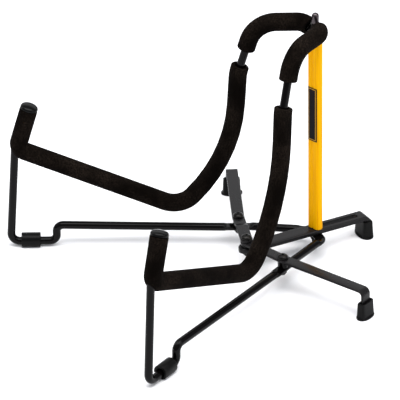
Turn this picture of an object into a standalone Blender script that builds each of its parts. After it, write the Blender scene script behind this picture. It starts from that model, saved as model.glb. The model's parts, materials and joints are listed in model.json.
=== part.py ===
"""Folding guitar stand.

Two bent steel frames, sleeved in foam, hinge on the tie rod of an aluminium post. Two rear legs
turn on the frames, and their inner ends share a pivot with a slotted centre bar that runs on the
tie rod. Every size below is in millimetres, and MM turns it into Blender's metres.

Model frame: +Z up, -Y the front, where the guitar faces, +X the right-hand frame. The origin is
on the floor, in the middle of the stand's footprint.
"""

import math

import bmesh
import bpy
from mathutils import Vector

MM = 0.001

# Clearances and facets
GAP = 0.3                       # between faces that touch on the real stand
ROD_SIDES = 12
FOAM_SIDES = 14
TURNED_SIDES = 16
NUT_SIDES = 18
ARC_STEP = math.radians(18)     # one ring for this much of a bend

# The frames' planes
FRAME_ANGLE = math.radians(27.5)    # each frame's plane, turned out from straight ahead
FRAME_OFFSET = 14.6                 # from the tie rod's axis to the frame's plane
FOLD_TURN = math.radians(25.0)      # each frame's turn from open to folded

# Steel rod
ROD_D = 9.5
EYE_R = 6.2
ARM_EYE_FLAT = 7.2              # flat rod before the tie rod's axis
ARM_EYE_NECK = 1.2              # length over which the round rod becomes flat
LEG_EYE_FLAT = 22.0
LEG_EYE_NECK = 6.0

# Arm rod, as distance ahead of the tie rod and height
LIP_TIP = (325.8, 183.0)
LIP_CORNER = (342.0, 129.0)
CRADLE_LOW = (155.5, 48.8)
BACK_KNEE = (94.5, 114.9)
ARM_EYE_Z = 284.0               # lower of the two arm eyes
BACK_TOP = (87.5, ARM_EYE_Z - 60.4)
SHOULDER_AHEAD = 68.0
SHOULDER_Z = {"right": ARM_EYE_Z + 5.0, "left": ARM_EYE_Z + 3.6}
ARM_TURN_AHEAD = 12.0           # where the arm turns in to the tie rod
ARM_EYE_RUN = 8.6               # level rod before the tie rod's axis
ARM_EYE_T = 4.7
LIP_CORNER_R = 11.2
CRADLE_R = 29.0
BACK_R = 195.0
BACK_TOP_R = 55.0
SHOULDER_R = 33.0
ARM_TURN_R = 18.0
ARM_EYE_BEND_R = 6.0

# Leg rod
RISER_FOOT_AHEAD = 353.5
RISER_HEAD_AHEAD = 344.9
WELD_DROP = 4.9                 # from the lip corner down to the leg rod's end
FOOT_CORNER_R = 10.0
STEP_AHEAD = RISER_FOOT_AHEAD - 53.5
STEP_TOP_Z = 27.0
STEP_R = 8.0
PIVOT_AHEAD = 89.0
PIVOT_Z = 21.4
PAD_LENGTH = 36.0
PAD_T = 4.0
PAD_W = 13.0
PAD_NECK = 6.0
LEG_TURN_AHEAD = 10.0           # where the leg rod turns in to the tie rod
LEG_TURN_R = 10.0
LEG_EYE_T = 3.2

# Foam, caps and sleeves
FOAM_D = 21.0
FOAM_BORE_D = 10.4
CRADLE_FOAM_TOP_Z = {"right": ARM_EYE_Z - 56.0, "left": ARM_EYE_Z - 51.5}
SHOULDER_FOAM_START_Z = {"right": ARM_EYE_Z - 26.0, "left": ARM_EYE_Z - 30.0}
FOAM_TO_EYE = 10.4              # bare rod between the shoulder foam and the tie rod
LIP_CAP_LENGTH = 6.0
LIP_CAP_SOCKET = 3.0
FOOT_Z = 6.2                    # leg rod's centre on its low run
CLIP_AHEAD = {"right": RISER_FOOT_AHEAD - 33.0, "left": RISER_FOOT_AHEAD - 23.5}
CLIP_L = 22.0
CLIP_W = 16.6
CLIP_CENTRE_Z = 8.0
CLIP_BORE_RISE = 2.0            # hollow over the rod inside the clip
CLIP_MOUTH = (math.radians(-112), math.radians(188))    # from its lower lip round to its upper one
CLIP_SQUARENESS = 2.7

# Flat bars
BAR_T = 3.0
BAR_W = 14.3
BAR_Z = 32.0                    # underside of both rear legs
BAR_HOLE_D = 5.8
BAR_BEND_R = 5.5
LEG_ANGLE = math.radians(18.53)     # open rear legs, turned back from straight across
LEG_OUTER = 116.6               # frame pivot to foot
LEG_DOGLEG = math.radians(5.6)
JOGGLE_FROM_PIVOT = 31.0
JOGGLE_RUN = 9.0
BAR_END_Z = 5.0
CENTRE_BAR_W = 18.8
CENTRE_BAR_T = 6.0
CENTRE_BAR_Z = 22.0
CENTRE_FOOT_BEHIND = 65.0       # rear foot, behind the tie rod
CENTRE_BEND_R = 3.5
SLOT_W = 7.4
SLOT_END_SPARE = 0.3

# Rubber boots
BOOT_H = 20.0
BOOT_FLANGE_H = 2.4
BOOT_TOP = (20.0, 9.4)
BOOT_BASE = (21.6, 11.8)
BOOT_FLANGE = (25.4, 15.8)
BOOT_FLANGE_ROUND = 2.2
CENTRE_BOOT_H = 21.5
CENTRE_BOOT_EXTRA = (3.8, 2.4)  # the centre bar is wider and thicker than the legs

# Post and tie rod
POST_LOBE_D = 10.2
POST_LOBE_SPAN = 8.5
POST_TURN = math.radians(18)
POST_WALL = 1.7
POST_GROOVE = 0.45
POST_GROOVE_W = 3.4
POST_TOP_Z = ARM_EYE_Z - 11.0
TIE_ROD_D = 5.0
PLUG_L = 9.0
PLUG_CHAMFER = 0.6
PLUG_BOSS_D = 9.6
SLOT_NECK_D = 6.6
CAP_NUT_AF = 8.0
CAP_NUT_TOP_Z = ARM_EYE_Z + 22.0
CAP_NUT_HEX_H = 5.0
WASHER_D = 11.0
WASHER_T = 1.2
NUT_AF = 8.0
NUT_H = 4.8

# Label on the post's front
LABEL_BOTTOM_Z = 144.0
LABEL_H = 68.5
LABEL_W = 13.6
LABEL_T = 0.25
LABEL_SEAT = 0.1
LABEL_COLUMNS = 10

# Pivot bolts and spacers
BOLT_D = 5.0
BOLT_HEAD_D = 12.6
BOLT_HEAD_H = 4.4
BOLT_SOCKET_AF = 3.0
BOLT_SOCKET_DEPTH = 1.4
BOLT_TAIL = 1.2
SPACER_D = 12.0

# Finishes: colour, roughness, metallic
BLACK_STEEL = ((0.012, 0.012, 0.012), 0.38, 0.3)
BLACK_BAR = ((0.035, 0.034, 0.034), 0.5, 0.3)
FOAM = ((0.009, 0.008, 0.007), 0.95, 0.0)
RUBBER = ((0.016, 0.016, 0.015), 0.6, 0.0)
YELLOW = ((1.0, 0.53, 0.0), 0.35, 0.2)
LABEL_BLACK = ((0.01, 0.01, 0.01), 0.45, 0.0)
ZINC = ((0.5, 0.5, 0.5), 0.35, 1.0)
NYLON = ((0.02, 0.02, 0.02), 0.5, 0.0)

# Worked out from the sizes above
ROD_R = ROD_D / 2
PIVOT_X = FRAME_OFFSET * math.cos(FRAME_ANGLE) + PIVOT_AHEAD * math.sin(FRAME_ANGLE)
PIVOT_Y = FRAME_OFFSET * math.sin(FRAME_ANGLE) - PIVOT_AHEAD * math.cos(FRAME_ANGLE)
LEG_INNER = PIVOT_X / math.cos(LEG_ANGLE)       # centre pivot to frame pivot
CENTRE_PIVOT_Y = PIVOT_Y - LEG_INNER * math.sin(LEG_ANGLE)
FOLDED_ANGLE = FRAME_ANGLE - FOLD_TURN
FOLDED_PIVOT_X = FRAME_OFFSET * math.cos(FOLDED_ANGLE) + PIVOT_AHEAD * math.sin(FOLDED_ANGLE)
FOLDED_PIVOT_Y = FRAME_OFFSET * math.sin(FOLDED_ANGLE) - PIVOT_AHEAD * math.cos(FOLDED_ANGLE)
FOLDED_REACH = LEG_INNER * math.sin(math.acos(FOLDED_PIVOT_X / LEG_INNER))
SLIDE_TRAVEL = CENTRE_PIVOT_Y - (FOLDED_PIVOT_Y - FOLDED_REACH)
BAR_LEVEL = BAR_T + GAP
PIVOT_HEAD_Z = BAR_Z + BAR_T + GAP
CENTRE_HEAD_Z = BAR_Z + BAR_T + BAR_LEVEL + GAP
RISER_RISE = LIP_CORNER[1] - WELD_DROP - FOOT_Z
RISER_LEAN = math.atan((RISER_FOOT_AHEAD - RISER_HEAD_AHEAD) / RISER_RISE)
FOOT_CORNER_REACH = FOOT_CORNER_R * math.tan((math.pi / 2 + RISER_LEAN) / 2)
FOOT_AHEAD = RISER_FOOT_AHEAD - FOOT_CORNER_REACH + FOOT_CORNER_R
FRONT_REACH = (FOOT_AHEAD * math.cos(FRAME_ANGLE) + ROD_R
               - FRAME_OFFSET * math.sin(FRAME_ANGLE))
REAR_REACH = CENTRE_FOOT_BEHIND + (BOOT_FLANGE[1] + CENTRE_BOOT_EXTRA[1]) / 2
POST_Y = (FRONT_REACH - REAR_REACH) / 2


# Scene helpers

def clear_scene():
    """Remove every object, so that the stand is alone."""
    for old in list(bpy.data.objects):
        bpy.data.objects.remove(old)


def make_empty(name, x, y, turn, parent=None):
    """An empty on a joint's axis, which carries the pieces of one moving body."""
    empty = bpy.data.objects.new(name, None)
    bpy.context.scene.collection.objects.link(empty)
    empty.parent = parent
    empty.location = (x * MM, y * MM, 0)
    empty.rotation_euler = (0, 0, turn)
    return empty


def make_material(name, finish):
    """A Principled material with one finish."""
    colour, roughness, metallic = finish
    material = bpy.data.materials.new(name)
    material.use_nodes = True
    shader = material.node_tree.nodes["Principled BSDF"]
    shader.inputs["Base Color"].default_value = (*colour, 1)
    shader.inputs["Roughness"].default_value = roughness
    shader.inputs["Metallic"].default_value = metallic
    return material


def make_piece(name, body, finish, parent, cutters=()):
    """One node from a skinned body, with its cutters taken out of it."""
    mesh = bpy.data.meshes.new(name)
    shape = bmesh.new()
    add_skin(shape, *body)
    bmesh.ops.recalc_face_normals(shape, faces=shape.faces)
    shape.to_mesh(mesh)
    shape.free()
    mesh.shade_smooth()
    mesh.set_sharp_from_angle(angle=math.radians(40))
    piece = bpy.data.objects.new(name, mesh)
    bpy.context.scene.collection.objects.link(piece)
    piece.parent = parent
    mesh.materials.append(make_material(name, finish))
    for number, body in enumerate(cutters):
        cutter = make_cutter(f"{name}_cutter_{number}", body, parent)
        cut = piece.modifiers.new(cutter.name, "BOOLEAN")
        cut.operation = "DIFFERENCE"
        cut.solver = "EXACT"
        cut.object = cutter
    return piece


def make_cutter(name, body, parent):
    """A hidden solid that a Boolean takes out of a piece."""
    mesh = bpy.data.meshes.new(name)
    shape = bmesh.new()
    add_skin(shape, *body)
    bmesh.ops.recalc_face_normals(shape, faces=shape.faces)
    shape.to_mesh(mesh)
    shape.free()
    cutter = bpy.data.objects.new(name, mesh)
    bpy.context.scene.collection.objects.link(cutter)
    cutter.parent = parent
    cutter.hide_render = True
    cutter.display_type = "WIRE"
    return cutter


def add_skin(shape, rings, hollow=False):
    """Join rings of equal count. A hollow skin closes on itself, another is capped."""
    rows = [[shape.verts.new(Vector(point) * MM) for point in ring] for ring in rings]
    count = len(rows[0])
    pairs = list(zip(rows, rows[1:]))
    if hollow:
        pairs.append((rows[-1], rows[0]))
    for lower, upper in pairs:
        for i in range(count):
            j = (i + 1) % count
            shape.faces.new((lower[i], lower[j], upper[j], upper[i]))
    if not hollow:
        shape.faces.new(rows[0])
        shape.faces.new(rows[-1])


# Rings

def circle(radius, sides=TURNED_SIDES):
    """Points of a circle, in its own plane."""
    angles = [2 * math.pi * i / sides for i in range(sides)]
    return [(radius * math.cos(a), radius * math.sin(a)) for a in angles]


def hexagon(across_flats, sides=NUT_SIDES):
    """Points of a hexagon, as many as a turned ring has."""
    points = []
    for i in range(sides):
        angle = 2 * math.pi * i / sides
        within = (angle + math.pi / 6) % (math.pi / 3) - math.pi / 6
        radius = across_flats / 2 / math.cos(within)
        points.append((radius * math.cos(angle), radius * math.sin(angle)))
    return points


def rounded(width, depth, sides=TURNED_SIDES, power=3.2):
    """Points of a rounded rectangle, as a superellipse."""
    points = []
    for i in range(sides):
        angle = 2 * math.pi * i / sides
        c, s = math.cos(angle), math.sin(angle)
        x = width / 2 * math.copysign(abs(c) ** (2 / power), c)
        y = depth / 2 * math.copysign(abs(s) ** (2 / power), s)
        points.append((x, y))
    return points


def flat_bar_section(half_width, half_thickness, bevel=0.5):
    """Rectangle with bevelled corners."""
    w, t = half_width, half_thickness
    b = min(bevel, w / 2, t / 2)
    return [(w, t - b), (w - b, t), (b - w, t), (-w, t - b),
            (-w, b - t), (b - w, -t), (w - b, -t), (w, b - t)]


def rod_section(half_width, half_thickness, sides=ROD_SIDES):
    """Round rod, or the squarer oval of a rod that has been pressed flat."""
    power = 2 + 2.5 * (1 - min(half_thickness / half_width, 1))
    points = []
    for i in range(sides):
        angle = 2 * math.pi * i / sides
        c, s = math.cos(angle), math.sin(angle)
        x = half_width * math.copysign(abs(c) ** (2 / power), c)
        y = half_thickness * math.copysign(abs(s) ** (2 / power), s)
        points.append((x, y))
    return points


def level(outline, z, x=0.0, y=0.0):
    """A flat outline, laid at a height."""
    return [(x + px, y + py, z) for px, py in outline]


def post_outline(inset=0.0, groove=POST_GROOVE, lobe_points=9, flat_points=7):
    """The post's section: two round lobes and two flats, each with a shallow groove."""
    radius = POST_LOBE_D / 2 - inset
    half = POST_LOBE_SPAN / 2
    points = []
    for end in (1, -1):
        for i in range(lobe_points):
            angle = math.pi * (i / (lobe_points - 1) - 0.5)
            points.append((end * (half + radius * math.cos(angle)), end * radius * math.sin(angle)))
        for i in range(1, flat_points):
            x = end * (half - 2 * half * i / flat_points)
            dip = groove * math.exp(-(2 * x / POST_GROOVE_W) ** 2)
            points.append((x, end * (radius - dip)))
    c, s = math.cos(POST_TURN), math.sin(POST_TURN)
    return [(x * c - y * s, x * s + y * c) for x, y in points]


# Paths

def rounded_path(corners):
    """Points along straight runs and arcs, from (point, radius) corners."""
    points = [Vector(corners[0][0])]
    for (before, _), (here, radius), (after, _) in zip(corners, corners[1:], corners[2:]):
        here = Vector(here)
        into = (here - Vector(before)).normalized()
        out = (Vector(after) - here).normalized()
        turn = into.angle(out)
        if turn < 1e-4 or radius == 0:
            points.append(here)
            continue
        reach = radius * math.tan(turn / 2)
        start = here - into * reach
        centre = here + (out - into).normalized() * radius / math.cos(turn / 2)
        steps = max(2, math.ceil(turn / ARC_STEP - 0.01))
        arm = start - centre
        for i in range(steps + 1):
            angle = turn * i / steps
            points.append(centre + arm * math.cos(angle) + into * radius * math.sin(angle))
    points.append(Vector(corners[-1][0]))
    return points


def lengths(points):
    """Distance along the path at each point."""
    total = [0.0]
    for a, b in zip(points, points[1:]):
        total.append(total[-1] + (b - a).length)
    return total


def along(points, distance):
    """The point at a distance along the path."""
    total = lengths(points)
    for i in range(1, len(points)):
        if distance <= total[i] or i == len(points) - 1:
            share = (distance - total[i - 1]) / (total[i] - total[i - 1])
            return points[i - 1].lerp(points[i], share)
    return points[-1]


def stretch(points, start, end, extra=()):
    """The part of a path between two distances, with extra stations on it."""
    total = lengths(points)
    stations = [start, end, *extra]
    stations += [d for d in total if start < d < end]
    stations.sort()
    kept = [stations[0]]
    for d in stations[1:]:
        if d - kept[-1] > 0.05:
            kept.append(d)
    return [(d, along(points, d)) for d in kept]


def nearest_station(points, distance):
    """The path's own station nearest to a distance, so that a sleeve ends square to a bend."""
    return min(lengths(points), key=lambda station: abs(station - distance))


def where_height(points, z, after=0.0):
    """Distance along the path at which it climbs past a height."""
    total = lengths(points)
    for i in range(1, len(points)):
        low, high = points[i - 1].z, points[i].z
        if total[i] > after and low <= z < high:
            return total[i - 1] + (total[i] - total[i - 1]) * (z - low) / (high - low)
    raise ValueError("the path never climbs past that height")


def sweep(stations, section_at, side_start):
    """Rings of a section carried along stations, level across wherever they run level."""
    points = [point for _, point in stations]
    rings = []
    side = Vector(side_start)
    for i, (distance, point) in enumerate(stations):
        ahead = points[min(i + 1, len(points) - 1)] - point
        behind = point - points[max(i - 1, 0)]
        tangent = (ahead.normalized() + behind.normalized()).normalized()
        side = (side - tangent * side.dot(tangent)).normalized()
        level_side = tangent.cross(Vector((0, 0, 1)))
        if level_side.length > 0.5:
            side = level_side.normalized() * math.copysign(1, level_side.dot(side))
        up = tangent.cross(side)
        ends = 0 < i < len(points) - 1
        stretch_by = 1 / math.cos(ahead.angle(behind) / 2) if ends else 1
        bend = ahead.normalized() - behind.normalized()
        ring = []
        for u, v in section_at(distance):
            offset = side * u + up * v
            if bend.length > 1e-6:
                across = bend.normalized()
                offset += across * offset.dot(across) * (stretch_by - 1)
            ring.append(point + offset)
        rings.append(ring)
    return rings


def frame_point(side, ahead, z, offset=FRAME_OFFSET):
    """A place in a frame's plane, in the axes of that frame's empty."""
    return Vector((side * offset, -ahead, z))


# Turned and stacked pieces

def turned(profile, x=0.0, y=0.0, sides=TURNED_SIDES):
    """Rings from (radius, height) pairs."""
    return [level(circle(radius, sides), z, x, y) for radius, z in profile]


def tube_rings(outer, inner, low, high, x=0.0, y=0.0):
    """A ring-shaped prism between two outlines of equal count."""
    return [level(outer, low, x, y), level(outer, high, x, y),
            level(inner, high, x, y), level(inner, low, x, y)]


def washer_rings(outer_d, hole_d, low, high, x=0.0, y=0.0):
    """A washer or a spacer."""
    return tube_rings(circle(outer_d / 2), circle(hole_d / 2), low, high, x, y)


def nut_rings(across_flats, hole_d, low, high, x=0.0, y=0.0):
    """A hexagon nut with a short round collar under it."""
    collar = circle(across_flats * 0.44, NUT_SIDES)
    hexed = hexagon(across_flats)
    hole = circle(hole_d / 2, NUT_SIDES)
    shoulder = low + (high - low) * 0.3
    return [level(collar, low, x, y), level(collar, shoulder, x, y), level(hexed, shoulder, x, y),
            level(hexed, high, x, y), level(hole, high, x, y), level(hole, low, x, y)]


def domed_bolt_rings(low, head_low, x=0.0, y=0.0):
    """A button-headed bolt: shank, domed head and socket, as one closed skin."""
    head_r = BOLT_HEAD_D / 2
    rim = 0.9
    profile = [(BOLT_D / 2 - 0.5, low), (BOLT_D / 2, low + 0.5), (BOLT_D / 2, head_low),
               (head_r - 0.3, head_low), (head_r, head_low + 0.3), (head_r, head_low + rim)]
    for i in range(1, 4):
        angle = math.radians(20 * i)
        profile.append((head_r * math.cos(angle), head_low + rim
                        + (BOLT_HEAD_H - rim) * math.sin(angle) / math.sin(math.radians(60))))
    top = head_low + BOLT_HEAD_H
    rings = turned(profile, x, y)
    socket = [(px, py) for px, py in circle(BOLT_SOCKET_AF / 2)]
    rings.append(level(socket, top, x, y))
    rings.append(level(socket, top - BOLT_SOCKET_DEPTH, x, y))
    return rings


def boot_rings(height, extra):
    """Tapered rubber boot with a flange at the floor, wide along Y."""
    wider, deeper = extra
    sizes = [(BOOT_FLANGE, 0.0), (BOOT_FLANGE, BOOT_FLANGE_H - 0.6), (BOOT_BASE, BOOT_FLANGE_H + 0.6),
             (BOOT_TOP, height - 1.0)]
    rings = []
    for (wide, deep), z in sizes:
        power = BOOT_FLANGE_ROUND if z < BOOT_FLANGE_H else 3.2
        rings.append(level(rounded(deep + deeper, wide + wider, power=power), z))
    wide, deep = BOOT_TOP
    rings.append(level(rounded(deep + deeper - 1.2, wide + wider - 1.2), height))
    return rings


# Pieces of the post

def make_spine(spine):
    """The post, its tie rod and what is stacked on them."""
    outline = post_outline()
    bore = post_outline(POST_WALL, groove=0.0)
    post_low = CENTRE_BAR_Z + CENTRE_BAR_T + GAP
    make_piece("post", (tube_rings(outline, bore, post_low, POST_TOP_Z), True), YELLOW, spine)

    insert = post_outline(POST_WALL + GAP, groove=0.0)
    hole = circle_facing(TIE_ROD_D / 2 + GAP, insert)
    neck = circle_facing(SLOT_NECK_D / 2, insert)
    boss = circle_facing(PLUG_BOSS_D / 2, insert)
    neck_low = CENTRE_BAR_Z + GAP / 2
    plug_high = post_low + PLUG_L
    rings = [level(neck, neck_low), level(neck, post_low), level(insert, post_low + PLUG_CHAMFER),
             level(insert, plug_high), level(hole, plug_high), level(hole, neck_low)]
    make_piece("post_plug_bottom", (rings, True), NYLON, spine)

    boss_top = ARM_EYE_Z - ARM_EYE_T / 2 - GAP
    plug_top = POST_TOP_Z + GAP
    plug_low = POST_TOP_Z - PLUG_L
    rings = [level(insert, plug_low), level(insert, plug_top), level(boss, plug_top + PLUG_CHAMFER),
             level(boss, boss_top), level(hole, boss_top), level(hole, plug_low)]
    make_piece("post_plug_top", (rings, True), NYLON, spine)

    eyes_top = ARM_EYE_Z + ARM_EYE_T * 1.5 + 2 * GAP
    eyes_low = CENTRE_BAR_Z - 2 * (LEG_EYE_T + GAP)
    nut_top = eyes_low - WASHER_T - 2 * GAP
    rod_low = nut_top - NUT_H - BOLT_TAIL
    hex_low = eyes_top + WASHER_T + GAP
    rod_top = hex_low + CAP_NUT_HEX_H
    rod = turned([(TIE_ROD_D / 2 - 0.5, rod_low), (TIE_ROD_D / 2, rod_low + 0.5),
                  (TIE_ROD_D / 2, rod_top)])
    make_piece("tie_rod", (rod, False), ZINC, spine)
    hole_d = TIE_ROD_D + 2 * GAP
    for name, low in (("top_washer", eyes_top), ("bottom_washer", eyes_low - GAP - WASHER_T)):
        washer = washer_rings(WASHER_D, hole_d, low, low + WASHER_T)
        make_piece(name, (washer, True), BLACK_STEEL, spine)
    make_piece("bottom_nut", (nut_rings(NUT_AF, hole_d, nut_top - NUT_H, nut_top), True),
               BLACK_STEEL, spine)
    make_piece("cap_nut", (cap_nut_rings(hex_low, rod_top + GAP), False), BLACK_STEEL, spine)
    make_label(spine)


def circle_facing(radius, outline):
    """A circle with its points at the same angles as an outline's points."""
    angles = [math.atan2(y, x) for x, y in outline]
    return [(radius * math.cos(a), radius * math.sin(a)) for a in angles]


def cap_nut_rings(low, bore_top):
    """Tall domed nut: blind bore, hexagon, then the dome."""
    bore = circle(TIE_ROD_D / 2 + GAP, NUT_SIDES)
    hexed = hexagon(CAP_NUT_AF)
    hex_top = low + CAP_NUT_HEX_H
    dome_r = CAP_NUT_AF * 0.47
    dome_foot = CAP_NUT_TOP_Z - dome_r
    rings = [level(bore, bore_top), level(bore, low), level(hexed, low), level(hexed, hex_top),
             level(circle(dome_r, NUT_SIDES), hex_top + 0.4),
             level(circle(dome_r, NUT_SIDES), dome_foot)]
    for i in range(1, 5):
        angle = math.radians(20 * i)
        rings.append(level(circle(dome_r * math.cos(angle), NUT_SIDES),
                           dome_foot + dome_r * math.sin(angle)))
    return rings


def make_label(spine):
    """Plain label, a thin skin wrapped across the front of the post."""
    c, s = math.cos(POST_TURN), math.sin(POST_TURN)
    low, high = LABEL_BOTTOM_Z, LABEL_BOTTOM_Z + LABEL_H
    inner, outer = LABEL_SEAT, LABEL_SEAT + LABEL_T
    rings = []
    for i in range(LABEL_COLUMNS + 1):
        across = LABEL_W * (i / LABEL_COLUMNS - 0.5)
        beyond = max(0.0, abs(across) - POST_LOBE_SPAN / 2)
        ring = []
        for lift, z in ((outer, low), (outer, high), (inner, high), (inner, low)):
            ahead = -math.sqrt((POST_LOBE_D / 2 + lift) ** 2 - beyond ** 2)
            ring.append((across * c - ahead * s, across * s + ahead * c, z))
        rings.append(ring)
    make_piece("post_label", (rings, False), LABEL_BLACK, spine)


# Pieces of a frame

def arm_path(side, shoulder_z, eye_z):
    """Centreline of the arm rod, from the lip's tip to the tie rod."""
    flat = [(LIP_TIP, 0), (LIP_CORNER, LIP_CORNER_R), (CRADLE_LOW, CRADLE_R), (BACK_KNEE, BACK_R),
            (BACK_TOP, BACK_TOP_R), ((SHOULDER_AHEAD, shoulder_z), SHOULDER_R),
            ((ARM_TURN_AHEAD, shoulder_z), ARM_TURN_R)]
    corners = [(frame_point(side, ahead, z), radius) for (ahead, z), radius in flat]
    eye = Vector((0, 0, eye_z))
    outward = frame_point(side, ARM_TURN_AHEAD, 0.0).normalized()
    corners += [(eye + outward * ARM_EYE_RUN, ARM_EYE_BEND_R), (eye, 0)]
    return rounded_path(corners)


def leg_path(side, eye_z):
    """Centreline of the leg rod, from the weld to the tie rod."""
    flat = [((RISER_HEAD_AHEAD, LIP_CORNER[1] - WELD_DROP), 0),
            ((RISER_FOOT_AHEAD, FOOT_Z), FOOT_CORNER_R), ((STEP_AHEAD, FOOT_Z), STEP_R),
            ((STEP_AHEAD, STEP_TOP_Z), STEP_R), ((PIVOT_AHEAD + PAD_LENGTH / 2, PIVOT_Z), 0),
            ((PIVOT_AHEAD - PAD_LENGTH / 2, PIVOT_Z), 0), ((LEG_TURN_AHEAD, eye_z), LEG_TURN_R)]
    corners = [(frame_point(side, ahead, z), radius) for (ahead, z), radius in flat]
    corners.append((Vector((0, 0, eye_z)), 0))
    return rounded_path(corners)


def eye_stations(path, eye_t, flat, neck):
    """Stations that end a rod in a flat, rounded eye, and the half sizes along them."""
    end = lengths(path)[-1]
    neck_end = end - flat
    neck_start = neck_end - neck
    inward = (path[-1] - path[-2]).normalized()
    stations = stretch(path, 0.0, end, (neck_start, neck_end))
    for degrees in (25, 45, 62, 78):
        reach = EYE_R * math.sin(math.radians(degrees))
        stations.append((end + reach, path[-1] + inward * reach))

    def half_sizes(distance):
        if distance <= neck_start:
            return ROD_R, ROD_R
        if distance < neck_end:
            share = (distance - neck_start) / (neck_end - neck_start)
            return ROD_R + (EYE_R - ROD_R) * share, ROD_R + (eye_t / 2 - ROD_R) * share
        if distance <= end + 0.01:
            return EYE_R, eye_t / 2
        reach = min((distance - end) / EYE_R, 1)
        return EYE_R * math.sqrt(1 - reach * reach), eye_t / 2

    return stations, half_sizes


def tie_hole(eye_z, thickness):
    """Cutter for the tie rod's hole in an eye."""
    reach = thickness
    return (turned([(TIE_ROD_D / 2 + GAP, eye_z - reach), (TIE_ROD_D / 2 + GAP, eye_z + reach)]),
            False)


def make_arm(name, side, eye_z, frame):
    """Arm rod with its flattened eye, and the foam sleeves and cap on it."""
    path = arm_path(side, SHOULDER_Z[name], eye_z)
    end = lengths(path)[-1]
    stations, half_sizes = eye_stations(path, ARM_EYE_T, ARM_EYE_FLAT, ARM_EYE_NECK)
    rings = sweep(stations, lambda d: rod_section(*half_sizes(d)), (1, 0, 0))
    make_piece(f"{name}_arm_rod", (rings, False), BLACK_STEEL, frame,
               [tie_hole(eye_z, ARM_EYE_T)])

    corner = (Vector(LIP_TIP) - Vector(LIP_CORNER)).length
    halfway = corner + (Vector(LIP_CORNER) - Vector(CRADLE_LOW)).length / 2
    split = where_height(path, CRADLE_FOAM_TOP_Z[name], halfway)
    shoulder = where_height(path, SHOULDER_FOAM_START_Z[name], halfway)
    riser_hole = riser_cutter(side)
    sleeve_start = LIP_CAP_SOCKET + GAP
    sleeves = {"cradle_foam": (sleeve_start, split, [riser_hole]),
               "shoulder_foam": (shoulder, nearest_station(path, end - FOAM_TO_EYE), [])}
    for part, (start, stop, cutters) in sleeves.items():
        run = stretch(path, start, stop)
        outer = sweep(run, lambda d: circle(FOAM_D / 2, FOAM_SIDES), (1, 0, 0))
        inner = sweep(run, lambda d: circle(FOAM_BORE_D / 2, FOAM_SIDES), (1, 0, 0))
        make_piece(f"{name}_{part}", (outer + inner[::-1], True), FOAM, frame, cutters)
    make_lip_cap(name, side, frame)


def riser_cutter(side):
    """Cutter for the leg rod's hole through the cradle foam."""
    foot = frame_point(side, RISER_FOOT_AHEAD, FOOT_Z)
    head = frame_point(side, RISER_HEAD_AHEAD, LIP_CORNER[1] - WELD_DROP)
    along_riser = (head - foot).normalized()
    ends = [head - along_riser * FOAM_D, head + along_riser * GAP]
    stations = [(0.0, ends[0]), (1.0, ends[1])]
    return sweep(stations, lambda d: circle(ROD_R + GAP, FOAM_SIDES), (1, 0, 0)), False


def make_lip_cap(name, side, frame):
    """Rubber cap over the rod's tip and against the foam's end."""
    tip = frame_point(side, *LIP_TIP)
    corner = frame_point(side, *LIP_CORNER)
    up = (tip - corner).normalized()
    mouth = -LIP_CAP_SOCKET
    radius = FOAM_D / 2 - 0.2
    top = LIP_CAP_LENGTH - LIP_CAP_SOCKET
    profile = [(FOAM_BORE_D / 2, GAP), (FOAM_BORE_D / 2, mouth), (radius, mouth),
               (radius, top - 4.0), (radius - 0.8, top - 2.0), (radius - 2.6, top - 0.6),
               (radius - 5.0, top)]
    rings = []
    for r, reach in profile:
        stations = [(0.0, tip + up * reach), (1.0, tip + up * (reach + 1))]
        rings.append(sweep(stations, lambda d, r=r: circle(r, FOAM_SIDES), (1, 0, 0))[0])
    make_piece(f"{name}_lip_cap", (rings, False), RUBBER, frame)


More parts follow.
